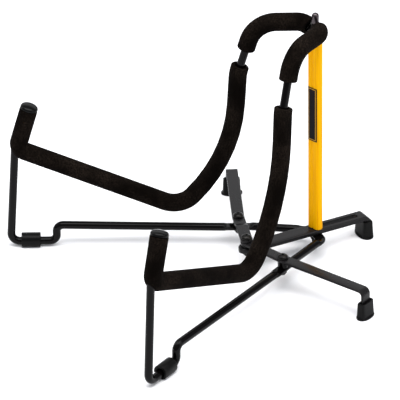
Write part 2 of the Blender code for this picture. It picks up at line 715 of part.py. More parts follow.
def make_leg(name, side, eye_z, frame):
    """Leg rod with its flat pad and eye, the sleeve at the floor and the frame's pivot."""
    path = leg_path(side, eye_z)
    pivot = frame_point(side, PIVOT_AHEAD, PIVOT_Z)
    total = lengths(path)
    pad_ends = [total[i] for i, p in enumerate(path)
                if abs(abs(-p.y - PIVOT_AHEAD) - PAD_LENGTH / 2) < 0.01 and p.z < PIVOT_Z + 1]
    pad_start, pad_end = pad_ends[0], pad_ends[-1]
    stations, half_sizes = eye_stations(path, LEG_EYE_T, LEG_EYE_FLAT, LEG_EYE_NECK)
    marks = [pad_start + PAD_NECK, pad_end - PAD_NECK]
    stations += [(d, along(path, d)) for d in marks]
    stations.sort(key=lambda station: station[0])

    def section_at(distance):
        if pad_start < distance < pad_end:
            share = min(1, (distance - pad_start) / PAD_NECK, (pad_end - distance) / PAD_NECK)
            return rod_section(ROD_R + (PAD_W / 2 - ROD_R) * share,
                               ROD_R + (PAD_T / 2 - ROD_R) * share)
        return rod_section(*half_sizes(distance))

    rings = sweep(stations, section_at, (1, 0, 0))
    bolt_hole = (turned([(BOLT_D / 2 + GAP, PIVOT_Z - PAD_T), (BOLT_D / 2 + GAP, PIVOT_Z + PAD_T)],
                        pivot.x, pivot.y), False)
    make_piece(f"{name}_leg_rod", (rings, False), BLACK_STEEL, frame,
               [tie_hole(eye_z, LEG_EYE_T), bolt_hole])

    make_foot_clip(name, side, frame)
    hole_d = BOLT_D + 2 * GAP
    pad_top = PIVOT_Z + PAD_T / 2 + GAP
    spacer = washer_rings(SPACER_D, hole_d, pad_top, BAR_Z - GAP, pivot.x, pivot.y)
    make_piece(f"{name}_pivot_spacer", (spacer, True), BLACK_STEEL, frame)
    nut_top = PIVOT_Z - PAD_T / 2 - GAP
    nut = nut_rings(NUT_AF, hole_d, nut_top - NUT_H, nut_top, pivot.x, pivot.y)
    make_piece(f"{name}_pivot_nut", (nut, True), BLACK_STEEL, frame)
    bolt = domed_bolt_rings(nut_top - NUT_H - BOLT_TAIL, PIVOT_HEAD_Z, pivot.x, pivot.y)
    make_piece(f"{name}_pivot_bolt", (bolt, False), BLACK_STEEL, frame)


def make_foot_clip(name, side, frame):
    """Rubber clip round the low run of the leg rod. Its mouth faces down and to -X."""
    outline = []
    count = 18
    start, stop = CLIP_MOUTH
    for i in range(count + 1):
        angle = start + (stop - start) * i / count
        power = 2 if math.sin(angle) > 0 else CLIP_SQUARENESS
        c, s = math.cos(angle), math.sin(angle)
        x = CLIP_W / 2 * math.copysign(abs(c) ** (2 / power), c)
        z = CLIP_CENTRE_Z + CLIP_W / 2 * math.copysign(abs(s) ** (2 / power), s)
        outline.append((x, max(z, 0.0)))
    for i in range(count, -1, -1):
        angle = start + (stop - start) * i / count
        rise = CLIP_BORE_RISE * max(0, math.sin(angle)) ** 0.5
        outline.append(((ROD_R + GAP) * math.cos(angle),
                        FOOT_Z + rise + (ROD_R + GAP) * math.sin(angle)))
    rings = []
    for end in (-0.5, 0.5):
        ahead = CLIP_AHEAD[name] + end * CLIP_L
        rings.append([(side * FRAME_OFFSET + x, -ahead, z) for x, z in outline])
    make_piece(f"{name}_foot_clip", (rings, False), RUBBER, frame)


# Pieces of a rear leg

def bar_stations(path, rounded_start, half_width):
    """Stations of a flat bar with a round first end, and its half width at each."""
    end = lengths(path)[-1]
    out = (path[0] - path[1]).normalized()
    tips = [-half_width * math.sin(math.radians(a)) for a in (78, 60, 40, 20)]
    stations = [(d, path[0] + out * -d) for d in tips] if rounded_start else []
    stations += stretch(path, 0.0, end)

    def width_at(distance):
        if distance >= 0:
            return half_width
        return math.sqrt(half_width ** 2 - distance ** 2)

    return stations, width_at


def make_rear_leg(name, side, lift, leg):
    """Flat steel leg from the centre pivot to its boot. lift raises its inner end."""
    mid = BAR_Z + BAR_T / 2
    turn_out = side * LEG_DOGLEG
    foot = Vector((side * LEG_OUTER * math.cos(turn_out), side * LEG_OUTER * math.sin(turn_out), mid))
    corners = [(Vector((-side * LEG_INNER, 0, mid + lift)), 0)]
    if lift:
        step = side * (JOGGLE_FROM_PIVOT - LEG_INNER)
        corners += [(Vector((step, 0, mid + lift)), 0),
                    (Vector((step + side * JOGGLE_RUN, 0, mid)), 0)]
    corners += [(Vector((0, 0, mid)), 0), (foot, BAR_BEND_R),
                (Vector((foot.x, foot.y, BAR_END_Z)), 0)]
    path = rounded_path(corners)
    stations, width_at = bar_stations(path, True, BAR_W / 2)
    rings = sweep(stations, lambda d: flat_bar_section(width_at(d), BAR_T / 2), (0, 1, 0))
    holes = []
    for x, z in ((0.0, mid), (-side * LEG_INNER, mid + lift)):
        profile = [(BAR_HOLE_D / 2, z - BAR_T), (BAR_HOLE_D / 2, z + BAR_T)]
        holes.append((turned(profile, x), False))
    make_piece(f"{name}_rear_leg", (rings, False), BLACK_BAR, leg, holes)

    boot = turned_about(boot_rings(BOOT_H, (0.0, 0.0)), turn_out, foot)
    pocket = pocket_rings(BAR_W, BAR_T, BOOT_H)
    make_piece(f"{name}_boot", (boot, False), RUBBER, leg,
               [(turned_about(pocket, turn_out, foot), False)])


def pocket_rings(width, thickness, boot_height):
    """Cutter for a boot's slot, from just under the bar's end up through its top."""
    section = flat_bar_section(width / 2 + GAP, thickness / 2 + GAP)
    outline = [(v, u) for u, v in section]
    return [level(outline, BAR_END_Z - GAP), level(outline, boot_height + 1)]


def turned_about(rings, angle, place):
    """Turn rings about Z and move them to a place."""
    c, s = math.cos(angle), math.sin(angle)
    return [[(place.x + x * c - y * s, place.y + x * s + y * c, z) for x, y, z in ring]
            for ring in rings]


# Centre bar and centre pivot

def make_centre_bar(slide):
    """Slotted bar that runs on the tie rod, its boot, and its end of the centre pivot."""
    mid = CENTRE_BAR_Z + CENTRE_BAR_T / 2
    corners = [(Vector((0, CENTRE_PIVOT_Y, mid)), 0),
               (Vector((0, CENTRE_FOOT_BEHIND, mid)), CENTRE_BEND_R),
               (Vector((0, CENTRE_FOOT_BEHIND, BAR_END_Z)), 0)]
    path = rounded_path(corners)
    stations, width_at = bar_stations(path, True, CENTRE_BAR_W / 2)
    rings = sweep(stations, lambda d: flat_bar_section(width_at(d), CENTRE_BAR_T / 2), (1, 0, 0))
    slot_r = SLOT_W / 2
    front, rear = -SLOT_END_SPARE, SLIDE_TRAVEL + SLOT_END_SPARE
    outline = []
    for centre, start in ((rear, 0.0), (front, math.pi)):
        for i in range(9):
            angle = start + math.pi * i / 8
            outline.append((slot_r * math.cos(angle), centre + slot_r * math.sin(angle)))
    cutters = [([level(outline, CENTRE_BAR_Z - 1), level(outline, CENTRE_BAR_Z + CENTRE_BAR_T + 1)],
                False)]
    hole = [(BOLT_D / 2 + GAP, CENTRE_BAR_Z - 1), (BOLT_D / 2 + GAP, CENTRE_BAR_Z + CENTRE_BAR_T + 1)]
    cutters.append((turned(hole, 0.0, CENTRE_PIVOT_Y), False))
    make_piece("centre_bar", (rings, False), BLACK_BAR, slide, cutters)

    place = Vector((0, CENTRE_FOOT_BEHIND, 0))
    quarter = math.pi / 2
    boot = turned_about(boot_rings(CENTRE_BOOT_H, CENTRE_BOOT_EXTRA), quarter, place)
    pocket = pocket_rings(CENTRE_BAR_W, CENTRE_BAR_T, CENTRE_BOOT_H)
    make_piece("centre_boot", (boot, False), RUBBER, slide,
               [(turned_about(pocket, quarter, place), False)])

    top = CENTRE_BAR_Z + CENTRE_BAR_T + GAP
    hole_d = BOLT_D + 2 * GAP
    spacer = washer_rings(BOLT_HEAD_D, hole_d, top, BAR_Z - GAP, 0.0, CENTRE_PIVOT_Y)
    make_piece("centre_spacer", (spacer, True), BLACK_STEEL, slide)
    nut_top = CENTRE_BAR_Z - GAP
    nut = nut_rings(NUT_AF, hole_d, nut_top - NUT_H, nut_top, 0.0, CENTRE_PIVOT_Y)
    make_piece("centre_nut", (nut, True), BLACK_STEEL, slide)
    r = BOLT_D / 2
    lower = turned([(r - 0.5, nut_top - NUT_H - BOLT_TAIL), (r, nut_top - NUT_H - BOLT_TAIL + 0.5),
                    (r, BAR_Z - GAP)], 0.0, CENTRE_PIVOT_Y)
    make_piece("centre_bolt_lower", (lower, False), BLACK_STEEL, slide)


def make_centre_pins(right_leg, left_leg):
    """The centre bolt's head, in the left leg, and its middle, in the right leg."""
    head_low = CENTRE_HEAD_Z
    shank_low = BAR_Z + BAR_LEVEL + GAP / 2
    head = domed_bolt_rings(shank_low, head_low, LEG_INNER)
    make_piece("centre_bolt_head", (head, False), BLACK_STEEL, left_leg)
    r = BOLT_D / 2
    middle = turned([(r, BAR_Z + GAP / 2), (r, BAR_Z + BAR_T - GAP / 2)], -LEG_INNER)
    make_piece("centre_bolt_middle", (middle, False), BLACK_STEEL, right_leg)


def main():
    clear_scene()
    spine = make_empty("spine", 0, POST_Y, 0)
    make_spine(spine)
    stack = {"right": (1, ARM_EYE_Z + ARM_EYE_T + GAP, CENTRE_BAR_Z - GAP - LEG_EYE_T / 2, 0.0),
             "left": (-1, ARM_EYE_Z, CENTRE_BAR_Z - 2 * GAP - LEG_EYE_T * 1.5, BAR_LEVEL)}
    legs = {}
    for name, (side, arm_eye_z, leg_eye_z, lift) in stack.items():
        frame = make_empty(f"{name}_frame", 0, POST_Y, side * FRAME_ANGLE)
        make_arm(name, side, arm_eye_z, frame)
        make_leg(name, side, leg_eye_z, frame)
        leg = make_empty(f"{name}_leg", side * PIVOT_X, POST_Y + PIVOT_Y, side * LEG_ANGLE)
        make_rear_leg(name, side, lift, leg)
        legs[name] = leg
    slide = make_empty("slide", 0, POST_Y, 0)
    make_centre_bar(slide)
    make_centre_pins(legs["right"], legs["left"])


main()
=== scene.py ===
"""Dressing of the folding guitar stand.

The packed model is the frame, and every piece here stands in the place of one of its nodes, with
rounder steel, foam that has its cut ends, moulded rubber and worked finishes. All sizes are metres
in Blender and are written here in millimetres times MM. +Z is up and -Y is the stand's front.
"""

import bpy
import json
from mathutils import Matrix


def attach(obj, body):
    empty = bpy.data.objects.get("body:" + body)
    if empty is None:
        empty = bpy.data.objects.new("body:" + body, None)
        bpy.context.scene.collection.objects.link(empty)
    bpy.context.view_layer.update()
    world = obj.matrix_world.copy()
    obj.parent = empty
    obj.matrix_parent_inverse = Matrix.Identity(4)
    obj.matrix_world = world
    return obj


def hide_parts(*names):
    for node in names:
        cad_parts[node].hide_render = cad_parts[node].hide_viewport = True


bl_info = {
    "name": "Folding guitar stand",
    "version": (1, 0, 0),
    "blender": (4, 5, 0),
    "location": "3D View > Sidebar > Guitar stand",
    "description": "Dresses the packed guitar stand and sets up its studio",
    "category": "Add Mesh",
}

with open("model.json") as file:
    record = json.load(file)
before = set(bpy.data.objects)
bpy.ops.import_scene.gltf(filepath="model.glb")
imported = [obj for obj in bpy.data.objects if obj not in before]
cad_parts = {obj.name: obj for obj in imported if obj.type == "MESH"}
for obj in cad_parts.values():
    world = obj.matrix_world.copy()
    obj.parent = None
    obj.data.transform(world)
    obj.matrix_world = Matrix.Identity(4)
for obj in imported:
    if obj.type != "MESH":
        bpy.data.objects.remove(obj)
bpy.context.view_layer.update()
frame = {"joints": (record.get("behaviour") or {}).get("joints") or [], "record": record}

import json
import math

import bmesh
import bpy
from bpy.props import FloatProperty, FloatVectorProperty, PointerProperty
from mathutils import Matrix, Vector

MM = 0.001

# What the frame says
RECORD = frame["record"]
BODY_OF = {node: body for body, nodes in RECORD["behaviour"]["bodies"].items() for node in nodes}
JOINTS = {joint["name"]: joint for joint in frame["joints"]}
TIE_Y = JOINTS["frame_fold"]["pos_m"][1]
FRAME_ANGLE = math.radians(27.5)        # each frame, turned out from straight ahead
PIVOT = Vector(JOINTS["right_leg_fold"]["pos_m"])
SIDES = {"right": 1, "left": -1}

# Where the foam sleeves start and end: they have crept unevenly on the two arms
CRADLE_FOAM_TOP_Z = {"right": 228.0 * MM, "left": 232.5 * MM}
SHOULDER_FOAM_START_Z = {"right": 258.0 * MM, "left": 254.0 * MM}

# Turns and facets
ARC_STEP = math.radians(6)      # one ring for this much of a bend
ROD_SIDES = 24
FOAM_SIDES = 40
TURNED_SIDES = 48
BOOT_SIDES = 64
CLIP_SIDES = 36
NECK_STEPS = 6                  # rings where a rod goes from round to flat
SLOT_STEPS = 16                 # round each end of the centre bar's slot
EYE_STEPS = (15, 30, 43, 55, 66, 76, 84)            # degrees round an eye's end
BAR_STEPS = (86, 78, 69, 60, 50, 40, 30, 20, 10)    # degrees round a bar's end
WORN_STEPS = (0, 18, 36, 54, 72, 86)                # degrees round a worn cut edge
GAP = 0.3 * MM                  # kept between neighbours, as in the frame
STRAIGHT = 1e-4                 # radians: a smaller turn is no bend
SAME_POINT = 0.001 * MM         # points nearer than this are merged
SAME_STATION = 0.005 * MM       # rings nearer than this are one
SLEEVE_SEAM = 0.004 * MM        # the same, on a sleeve that has been baked
MOST_EDGE = 0.9                 # of half a bar's thickness, for its edges' radius

# Degrees past which edges are shaded sharp
SHARP = 32
POST_SHARP = 30
BAR_SHARP = 38
ROD_SHARP = 40
FOAM_SHARP = 50

# Arm rod: distance ahead of the tie rod, height and bend radius
LIP_TIP = (325.8 * MM, 183.0 * MM)
ARM_BENDS = (((342.0 * MM, 129.0 * MM), 11.2 * MM), ((155.5 * MM, 48.8 * MM), 29.0 * MM),
             ((94.5 * MM, 114.9 * MM), 195.0 * MM), ((87.5 * MM, 223.6 * MM), 55.0 * MM))
SHOULDER_AHEAD = 68.0 * MM
SHOULDER_Z = {"right": 289.0 * MM, "left": 287.6 * MM}
SHOULDER_R = 33.0 * MM
ARM_TURN_AHEAD = 12.0 * MM      # where an arm turns in to the tie rod
ARM_TURN_R = 18.0 * MM
ARM_EYE_RUN = 8.6 * MM          # level rod before the tie rod
ARM_EYE_BEND_R = 6.0 * MM
ARM_EYE_Z = {"right": 289.0 * MM, "left": 284.0 * MM}
ARM_EYE_T = 4.7 * MM
ARM_EYE_FLAT = 7.2 * MM
ARM_EYE_NECK = 1.2 * MM

# Leg rod
RISER_HEAD = (344.9 * MM, 124.1 * MM)
LEG_BENDS = (((353.5 * MM, 6.2 * MM), 10.0 * MM), ((300.0 * MM, 6.2 * MM), 8.0 * MM),
             ((300.0 * MM, 27.0 * MM), 8.0 * MM))
WELD_REACH = 5.0 * MM           # how far the riser runs up into the foam, to its weld
PIVOT_Z = 21.4 * MM
PAD_LENGTH = 36.0 * MM
PAD_NECK = 4.5 * MM
PAD_T = 4.0 * MM
PAD_W = 13.0 * MM
LEG_TURN_AHEAD = 10.0 * MM
LEG_TURN_R = 10.0 * MM
LEG_EYE_Z = {"right": 20.1 * MM, "left": 16.6 * MM}
LEG_EYE_T = 3.2 * MM
LEG_EYE_FLAT = 22.0 * MM
LEG_EYE_NECK = 6.0 * MM

# Rear legs and centre bar
LEG_INNER = 57.0 * MM
LEG_OUTER = 116.6 * MM
LEG_DOGLEG = math.radians(5.6)
BAR_Z = 32.0 * MM
BAR_END_Z = 5.0 * MM
BAR_BEND_R = 5.5 * MM
BAR_HOLE_D = 5.8 * MM
JOGGLE_FROM_PIVOT = 31.0 * MM
JOGGLE_RUN = 9.0 * MM
JOGGLE_R = 2.2 * MM
CENTRE_BAR_Z = 22.0 * MM
CENTRE_FOOT_BEHIND = 65.0 * MM
CENTRE_BEND_R = 3.5 * MM
SLOT_W = 7.4 * MM

# Post, tie rod and what is stacked on them
POST_Z = (28.3 * MM, 273.0 * MM)
POST_BURR = 0.3 * MM
GROOVE_POWER = 6                # how steep the sides of the post's grooves are
TIE_ROD_D = 5.0 * MM
TIE_HOLE_D = TIE_ROD_D + 2 * GAP
PLUG_L = 9.0 * MM
PLUG_NECK_D = 6.6 * MM
PLUG_BOSS_D = 9.6 * MM
CAP_NUT_TOP_Z = 306.0 * MM
CAP_NUT_HEX_H = 5.0 * MM
WASHER_D = 11.0 * MM
WASHER_T = 1.2 * MM
WASHER_EDGE = 0.25 * MM         # broken off a washer's outer edges
NUT_AF = 8.0 * MM
NUT_H = 4.8 * MM
NUT_BROKEN_AF = NUT_AF - 0.5 * MM
NUT_BREAK_H = 0.3 * MM          # height over which a hexagon's edges are broken
NUT_COLLAR_R = 0.44 * NUT_AF
NUT_COLLAR_EDGE = 0.4 * MM
NUT_COLLAR_SHARE = 0.3          # of the nut's height
BOLT_D = 5.0 * MM
BOLT_HOLE_D = BOLT_D + 2 * GAP
BOLT_CHAMFER = 0.5 * MM
BOLT_PAST_NUT = 1.2 * MM
BOLT_RIM = 0.7 * MM             # height of a head's upright rim
SOCKET_AF = 3.0 * MM
SOCKET_DEPTH = 1.4 * MM

# Lip caps: the dome as (share of the radius, drop from its top)
CAP_UNDER_FOAM = 0.2 * MM       # how far inside the foam's skin a cap's side is
CAP_EDGE = 3.0 * MM             # radius round the dome's foot
CAP_EDGE_DROP = 1.5 * MM
CAP_DOME = ((0.7, 1.1 * MM), (0.45, 0.45 * MM), (0.2, 0.08 * MM), (0.05, 0.0))

# Foot clips
FOOT_Z = 6.2 * MM
CLIP_AHEAD = {"right": 320.5 * MM, "left": 330.0 * MM}
CLIP_CENTRE_Z = 8.0 * MM
CLIP_MOUTH = (math.radians(-112), math.radians(188))
CLIP_POWER = 2.7                # how square a clip's lower half is
CLIP_HEADROOM = 2.0 * MM        # left over the rod in a clip's bore
CLIP_EDGE = 0.7 * MM

# Boots
BOOT_SLOT_SPARE = (2.0 * MM, 3.8 * MM)  # how much wider and deeper than its bar a slot is
BOOT_SLOT_DEPTH = 5.0 * MM
BOOT_SLOT_TAPER = 0.4 * MM              # how much shallower the slot's floor is

# Studio, in metres. For each light: the setting that powers it, its share of that, its width and
# height, then in degrees its turn from the camera and its rise, and how far away it hangs
LIGHTS = {"overhead_softbox": ("overhead", 1.0, 2.1, 1.3, 0, 80, 1.7),
          "backdrop": ("backdrop", 1.0, 4.6, 1.2, 180, 32, 2.6),
          "left_softbox": ("sides", 1.0, 0.8, 1.4, -104, 34, 2.0),
          "right_softbox": ("sides", 1.5, 0.8, 1.4, 66, 30, 2.0)}
LIT_POINT = Vector((0.0, 0.0, 0.1))
FLOOR_REACH = 6.0
FLOOR_Z = -0.2 * MM
AIR_TINT = (0.94, 0.96, 1.0, 1.0)
SENSOR_WIDTH = 36.0
FARTHEST_SEEN = 100.0


def linear(code):
    """An sRGB hex colour as linear red, green and blue."""
    parts = [int(code[i:i + 2], 16) / 255 for i in (1, 3, 5)]
    return tuple(p / 12.92 if p <= 0.04045 else ((p + 0.055) / 1.055) ** 2.4 for p in parts)


def size(name, default, description):
    """A length in millimetres, as a property in Blender's metres."""
    return FloatProperty(name=name, description=description, default=default * MM, min=0.0,
                         unit="LENGTH", precision=4)


def colour(name, code, description):
    """A colour property from an sRGB hex value."""
    return FloatVectorProperty(name=name, description=description, default=linear(code),
                               subtype="COLOR", size=3, min=0.0, max=1.0)


# Settings that a user would change

class StandSteel(bpy.types.PropertyGroup):
    """Sizes of the rods, flat bars and bolts."""
    rod: size("Rod", 9.5, "Diameter of the bent steel rod")
    eye: size("Eye", 12.4, "Width of a rod's flattened eye")
    bar_width: size("Bar width", 14.3, "Width of the rear legs' flat bar")
    bar_thickness: size("Bar thickness", 3.0, "Thickness of the rear legs' flat bar")
    bar_edge: size("Bar edge", 0.9, "Radius on the flat bars' edges")
    centre_edge: size("Centre bar edge", 2.0, "Radius on the centre bar's edges")
    centre_width: size("Centre bar width", 18.8, "Width of the slotted centre bar")
    centre_thickness: size("Centre bar thickness", 6.0, "Thickness of the centre bar")
    head: size("Bolt head", 12.6, "Diameter of the pivots' domed bolt heads")
    head_height: size("Bolt head height", 4.4, "Height of the pivots' domed bolt heads")
    spacer: size("Spacer", 12.0, "Diameter of the tube between a frame and its rear leg")


class StandFoam(bpy.types.PropertyGroup):
    """Sizes of the foam sleeves."""
    diameter: size("Sleeve", 21.0, "Outer diameter of the foam sleeves")
    bore: size("Bore", 10.4, "Bore of the foam sleeves")
    mouth: size("Mouth", 13.2, "Diameter to which the bore opens at a cut end")
    edge: size("Cut edge", 1.5, "Radius to which a cut end has worn")
    bare_end: size("Bare end", 10.4, "Bare rod between the upper sleeve and the tie rod")


class StandPost(bpy.types.PropertyGroup):
    """Sizes of the post and its label."""
    lobe: size("Lobe", 10.2, "Diameter of the post's round sides")
    span: size("Span", 8.5, "Distance between the centres of the round sides")
    wall: size("Wall", 1.7, "Wall of the extrusion")
    groove: size("Groove", 0.8, "Depth of the shallow groove down each flat")
    groove_width: size("Groove width", 2.6, "Width of the shallow groove")
    turn: FloatProperty(name="Turn", description="Turn of the post about its own axis",
                        default=math.radians(18), subtype="ANGLE", unit="ROTATION")
    label_foot: size("Label foot", 144.0, "Height of the label's lower edge")
    label_height: size("Label height", 68.5, "Height of the label")
    label_width: size("Label width", 13.6, "Width of the label")
    border_inset: size("Border inset", 1.7, "Distance of the label's border line from its edge")
    border_line: size("Border line", 0.9, "Width of the label's border line")


class StandRubber(bpy.types.PropertyGroup):
    """Sizes of the rubber boots, clips and caps."""
    boot_height: size("Boot height", 20.0, "Height of the rear legs' boots")
    centre_boot_height: size("Centre boot height", 21.5, "Height of the centre bar's boot")
    centre_boot_extra: FloatVectorProperty(
        name="Centre boot extra", description="How much wider and deeper the centre boot is",
        default=(3.8 * MM, 2.4 * MM), size=2, unit="LENGTH")
    boot_top: FloatVectorProperty(name="Boot top", description="Width and depth of a boot's top",
                                  default=(20.0 * MM, 9.4 * MM), size=2, unit="LENGTH")
    boot_base: FloatVectorProperty(name="Boot base", description="Width and depth over the flange",
                                   default=(21.6 * MM, 11.8 * MM), size=2, unit="LENGTH")
    flange: FloatVectorProperty(name="Flange", description="Width and depth of a boot's flange",
                                default=(25.4 * MM, 15.8 * MM), size=2, unit="LENGTH")
    flange_height: size("Flange height", 2.4, "Height of a boot's flange")
    clip_length: size("Clip length", 22.0, "Length of the clips on the floor runs")
    clip_width: size("Clip width", 16.6, "Width of the clips on the floor runs")
    cap_length: size("Cap length", 6.0, "Length of the caps on the lips")
    cap_socket: size("Cap socket", 3.0, "Depth to which a cap takes its rod")


class StandColours(bpy.types.PropertyGroup):
    """Colours of the finishes."""
    rod: colour("Rod coat", "#050404", "Powder coat of the round rods")
    bar: colour("Bar coat", "#161516", "Powder coat of the flat bars")
    foam: colour("Foam", "#060403", "Closed-cell foam")
    # Lighter colour of the raised cells: a painted highlight speckle on the foam
    foam_painted_highlight: colour("Foam, painted highlight", "#29221D", "Raised cells of the foam")
    rubber: colour("Rubber", "#070707", "Moulded rubber")
    post: colour("Post", "#F0AE00", "Yellow lacquer of the post")
    # Painted shade of the post's yellow, mixed in streaks along the die lines
    post_painted_shade: colour("Post, shaded", "#DC8D00", "Painted shade of the yellow lacquer, in streaks")
    label: colour("Label", "#0E0B10", "Label film")
    border: colour("Label border", "#B98A2B", "Label border line")
    bolt: colour("Bolts", "#1A1918", "Black oxide on the bolts and nuts")
    nickel: colour("Black nickel", "#423C3E", "Black nickel on the cap nut")
    zinc: colour("Zinc", "#B9BCC0", "Zinc plate on the tie rod")
    nylon: colour("Nylon", "#171717", "Moulded plugs in the post")
    floor: colour("Floor", "#F4F4F6", "Studio floor")


class StandStudio(bpy.types.PropertyGroup):
    """Camera and lights."""
    azimuth: FloatProperty(name="Azimuth", description="How far round from the front the camera is",
                           default=math.radians(62.89), subtype="ANGLE", unit="ROTATION")
    elevation: FloatProperty(name="Elevation", description="How far above the floor it looks down",
                             default=math.radians(29.72), subtype="ANGLE", unit="ROTATION")
    roll: FloatProperty(name="Roll", description="Tilt of the camera about its own axis",
                        default=math.radians(-0.945), subtype="ANGLE", unit="ROTATION")
    distance: FloatProperty(name="Distance", description="From the post's foot to the camera",
                            default=4.6335, unit="LENGTH")
    across: FloatProperty(name="Across", description="Camera's offset across its own view",
                          default=-0.1338, unit="LENGTH")
    above: FloatProperty(name="Above", description="Camera's offset up its own view",
                         default=0.0555, unit="LENGTH")
    lens: FloatProperty(name="Lens", description="Focal length", default=359.37, unit="CAMERA")
    overhead: FloatProperty(name="Overhead", description="Power of the large light overhead",
                            default=52.0, unit="POWER")
    backdrop: FloatProperty(name="Backdrop", description="Power of the wall of light behind",
                            default=16.0, unit="POWER")
    sides: FloatProperty(name="Sides", description="Power of each softbox at the sides",
                         default=7.0, unit="POWER")
    sky: FloatProperty(name="Sky", description="Strength of the light from all round", default=0.45)


# Paths

def rounded_path(corners):
    """Points along straight runs and arcs, from (point, radius) corners."""
    points = [Vector(corners[0][0])]
    for (before, _), (here, radius), (after, _) in zip(corners, corners[1:], corners[2:]):
        here = Vector(here)
        into = (here - Vector(before)).normalized()
        out = (Vector(after) - here).normalized()
        turn = into.angle(out)
        if turn < STRAIGHT or radius == 0:
            points.append(here)
            continue
        start = here - into * radius * math.tan(turn / 2)
        centre = here + (out - into).normalized() * radius / math.cos(turn / 2)
        steps = max(2, math.ceil(turn / ARC_STEP - 0.01))   # 0.01: whole turns get no more
        arm = start - centre
        for i in range(steps + 1):
            angle = turn * i / steps
            points.append(centre + arm * math.cos(angle) + into * radius * math.sin(angle))
    points.append(Vector(corners[-1][0]))
    return points


def lengths(points):
    """Distance along the path at each point."""
    total = [0.0]
    for a, b in zip(points, points[1:]):
        total.append(total[-1] + (b - a).length)
    return total


def along(points, distance):
    """The point at a distance along the path, or on its last run carried on."""
    total = lengths(points)
    i = 1
    while i < len(points) - 1 and distance > total[i]:
        i += 1
    share = (distance - total[i - 1]) / (total[i] - total[i - 1])
    return points[i - 1].lerp(points[i], share)


def stations_between(points, start, end, extra=()):
    """(distance, point) stations of the path between two distances, with extra ones."""
    wanted = sorted([start, end, *extra, *(d for d in lengths(points) if start < d < end)])
    kept = [wanted[0]]
    for distance in wanted[1:]:
        if distance - kept[-1] > SAME_STATION:
            kept.append(distance)
    return [(distance, along(points, distance)) for distance in kept]


def where_height(points, z, after):
    """Distance along the path, past a place, at which it climbs through a height."""
    total = lengths(points)
    for i in range(1, len(points)):
        low, high = points[i - 1].z, points[i].z
        if total[i] > after and low <= z < high:
            return total[i - 1] + (total[i] - total[i - 1]) * (z - low) / (high - low)
    raise ValueError("the path never climbs through that height")


def sweep(stations, section_at, side):
    """Rings of a section carried along stations, level across wherever they run level."""
    points = [point for _, point in stations]
    side = Vector(side)
    rings = []
    for i, (distance, point) in enumerate(stations):
        ahead = (points[min(i + 1, len(points) - 1)] - point).normalized()
        behind = (point - points[max(i - 1, 0)]).normalized()
        tangent = (ahead + behind).normalized()
        side = (side - tangent * side.dot(tangent)).normalized()
        level_side = tangent.cross(Vector((0, 0, 1)))
        if level_side.length > 0.5:
            side = level_side.normalized() * math.copysign(1, level_side.dot(side))
        up = tangent.cross(side)
        bend = ahead - behind if 0 < i < len(points) - 1 else Vector()
        ring = []
        for u, v in section_at(distance):
            offset = side * u + up * v
            if bend.length > 1e-6:
                across = bend.normalized()
                offset += across * offset.dot(across) * (1 / math.cos(ahead.angle(behind) / 2) - 1)
            ring.append(point + offset)
        rings.append(ring)
    return rings


def frame_point(side, ahead, z):
    """A place in a frame's plane, in that frame's own axes."""
    return Vector((side * FRAME_OFFSET, -ahead, z))


def frame_place(side):
    """Turns a frame's own axes into the world's."""
    return Matrix.Translation((0, TIE_Y, 0)) @ Matrix.Rotation(side * FRAME_ANGLE, 4, "Z")


def leg_place(side):
    """Turns a rear leg's own axes into the world's."""
    angle = side * math.acos(PIVOT.x / LEG_INNER)
    return Matrix.Translation((side * PIVOT.x, PIVOT.y, 0)) @ Matrix.Rotation(angle, 4, "Z")


LOCAL_PIVOT = frame_place(1).inverted() @ Vector((PIVOT.x, PIVOT.y, 0))
FRAME_OFFSET = LOCAL_PIVOT.x
PIVOT_AHEAD = -LOCAL_PIVOT.y
CENTRE_PIVOT = leg_place(1) @ Vector((-LEG_INNER, 0, 0))


def arm_path(name):
    """Centreline of an arm rod, from the lip's tip to the tie rod."""
    side, eye_z = SIDES[name], ARM_EYE_Z[name]
    shoulder_z, eye = SHOULDER_Z[name], Vector((0, 0, eye_z))
    flat = [(LIP_TIP, 0), *ARM_BENDS, ((SHOULDER_AHEAD, shoulder_z), SHOULDER_R),
            ((ARM_TURN_AHEAD, shoulder_z), ARM_TURN_R)]
    corners = [(frame_point(side, ahead, z), radius) for (ahead, z), radius in flat]
    outward = frame_point(side, ARM_TURN_AHEAD, 0.0).normalized()
    return rounded_path(corners + [(eye + outward * ARM_EYE_RUN, ARM_EYE_BEND_R), (eye, 0)])


def leg_path(name):
    """Centreline of a leg rod, from the weld to the tie rod."""
    side, eye_z = SIDES[name], LEG_EYE_Z[name]
    flat = [(RISER_HEAD, 0), *LEG_BENDS, ((PIVOT_AHEAD + PAD_LENGTH / 2, PIVOT_Z), 0),
            ((PIVOT_AHEAD - PAD_LENGTH / 2, PIVOT_Z), 0), ((LEG_TURN_AHEAD, eye_z), LEG_TURN_R)]
    corners = [(frame_point(side, ahead, z), radius) for (ahead, z), radius in flat]
    return rounded_path(corners + [(Vector((0, 0, eye_z)), 0)])


# Outlines

def circle(radius):
    """Points of a circle."""
    angles = [2 * math.pi * i / TURNED_SIDES for i in range(TURNED_SIDES)]
    return [(radius * math.cos(a), radius * math.sin(a)) for a in angles]


def hexagon(across_flats):
    """Points of a hexagon, as many as a circle has."""
    points = []
    for i in range(TURNED_SIDES):
        angle = 2 * math.pi * i / TURNED_SIDES
        within = (angle + math.pi / 6) % (math.pi / 3) - math.pi / 6
        radius = across_flats / 2 / math.cos(within)
        points.append((radius * math.cos(angle), radius * math.sin(angle)))
    return points


def superellipse(angle, half_width, half_depth, power):
    """One point of a rounded rectangle, which a higher power makes squarer."""
    c, s = math.cos(angle), math.sin(angle)
    return (half_width * math.copysign(abs(c) ** (2 / power), c),
            half_depth * math.copysign(abs(s) ** (2 / power), s))


def squarish(width, depth, sides, power):
    """Points of a rounded rectangle."""
    return [superellipse(2 * math.pi * i / sides, width / 2, depth / 2, power)
            for i in range(sides)]


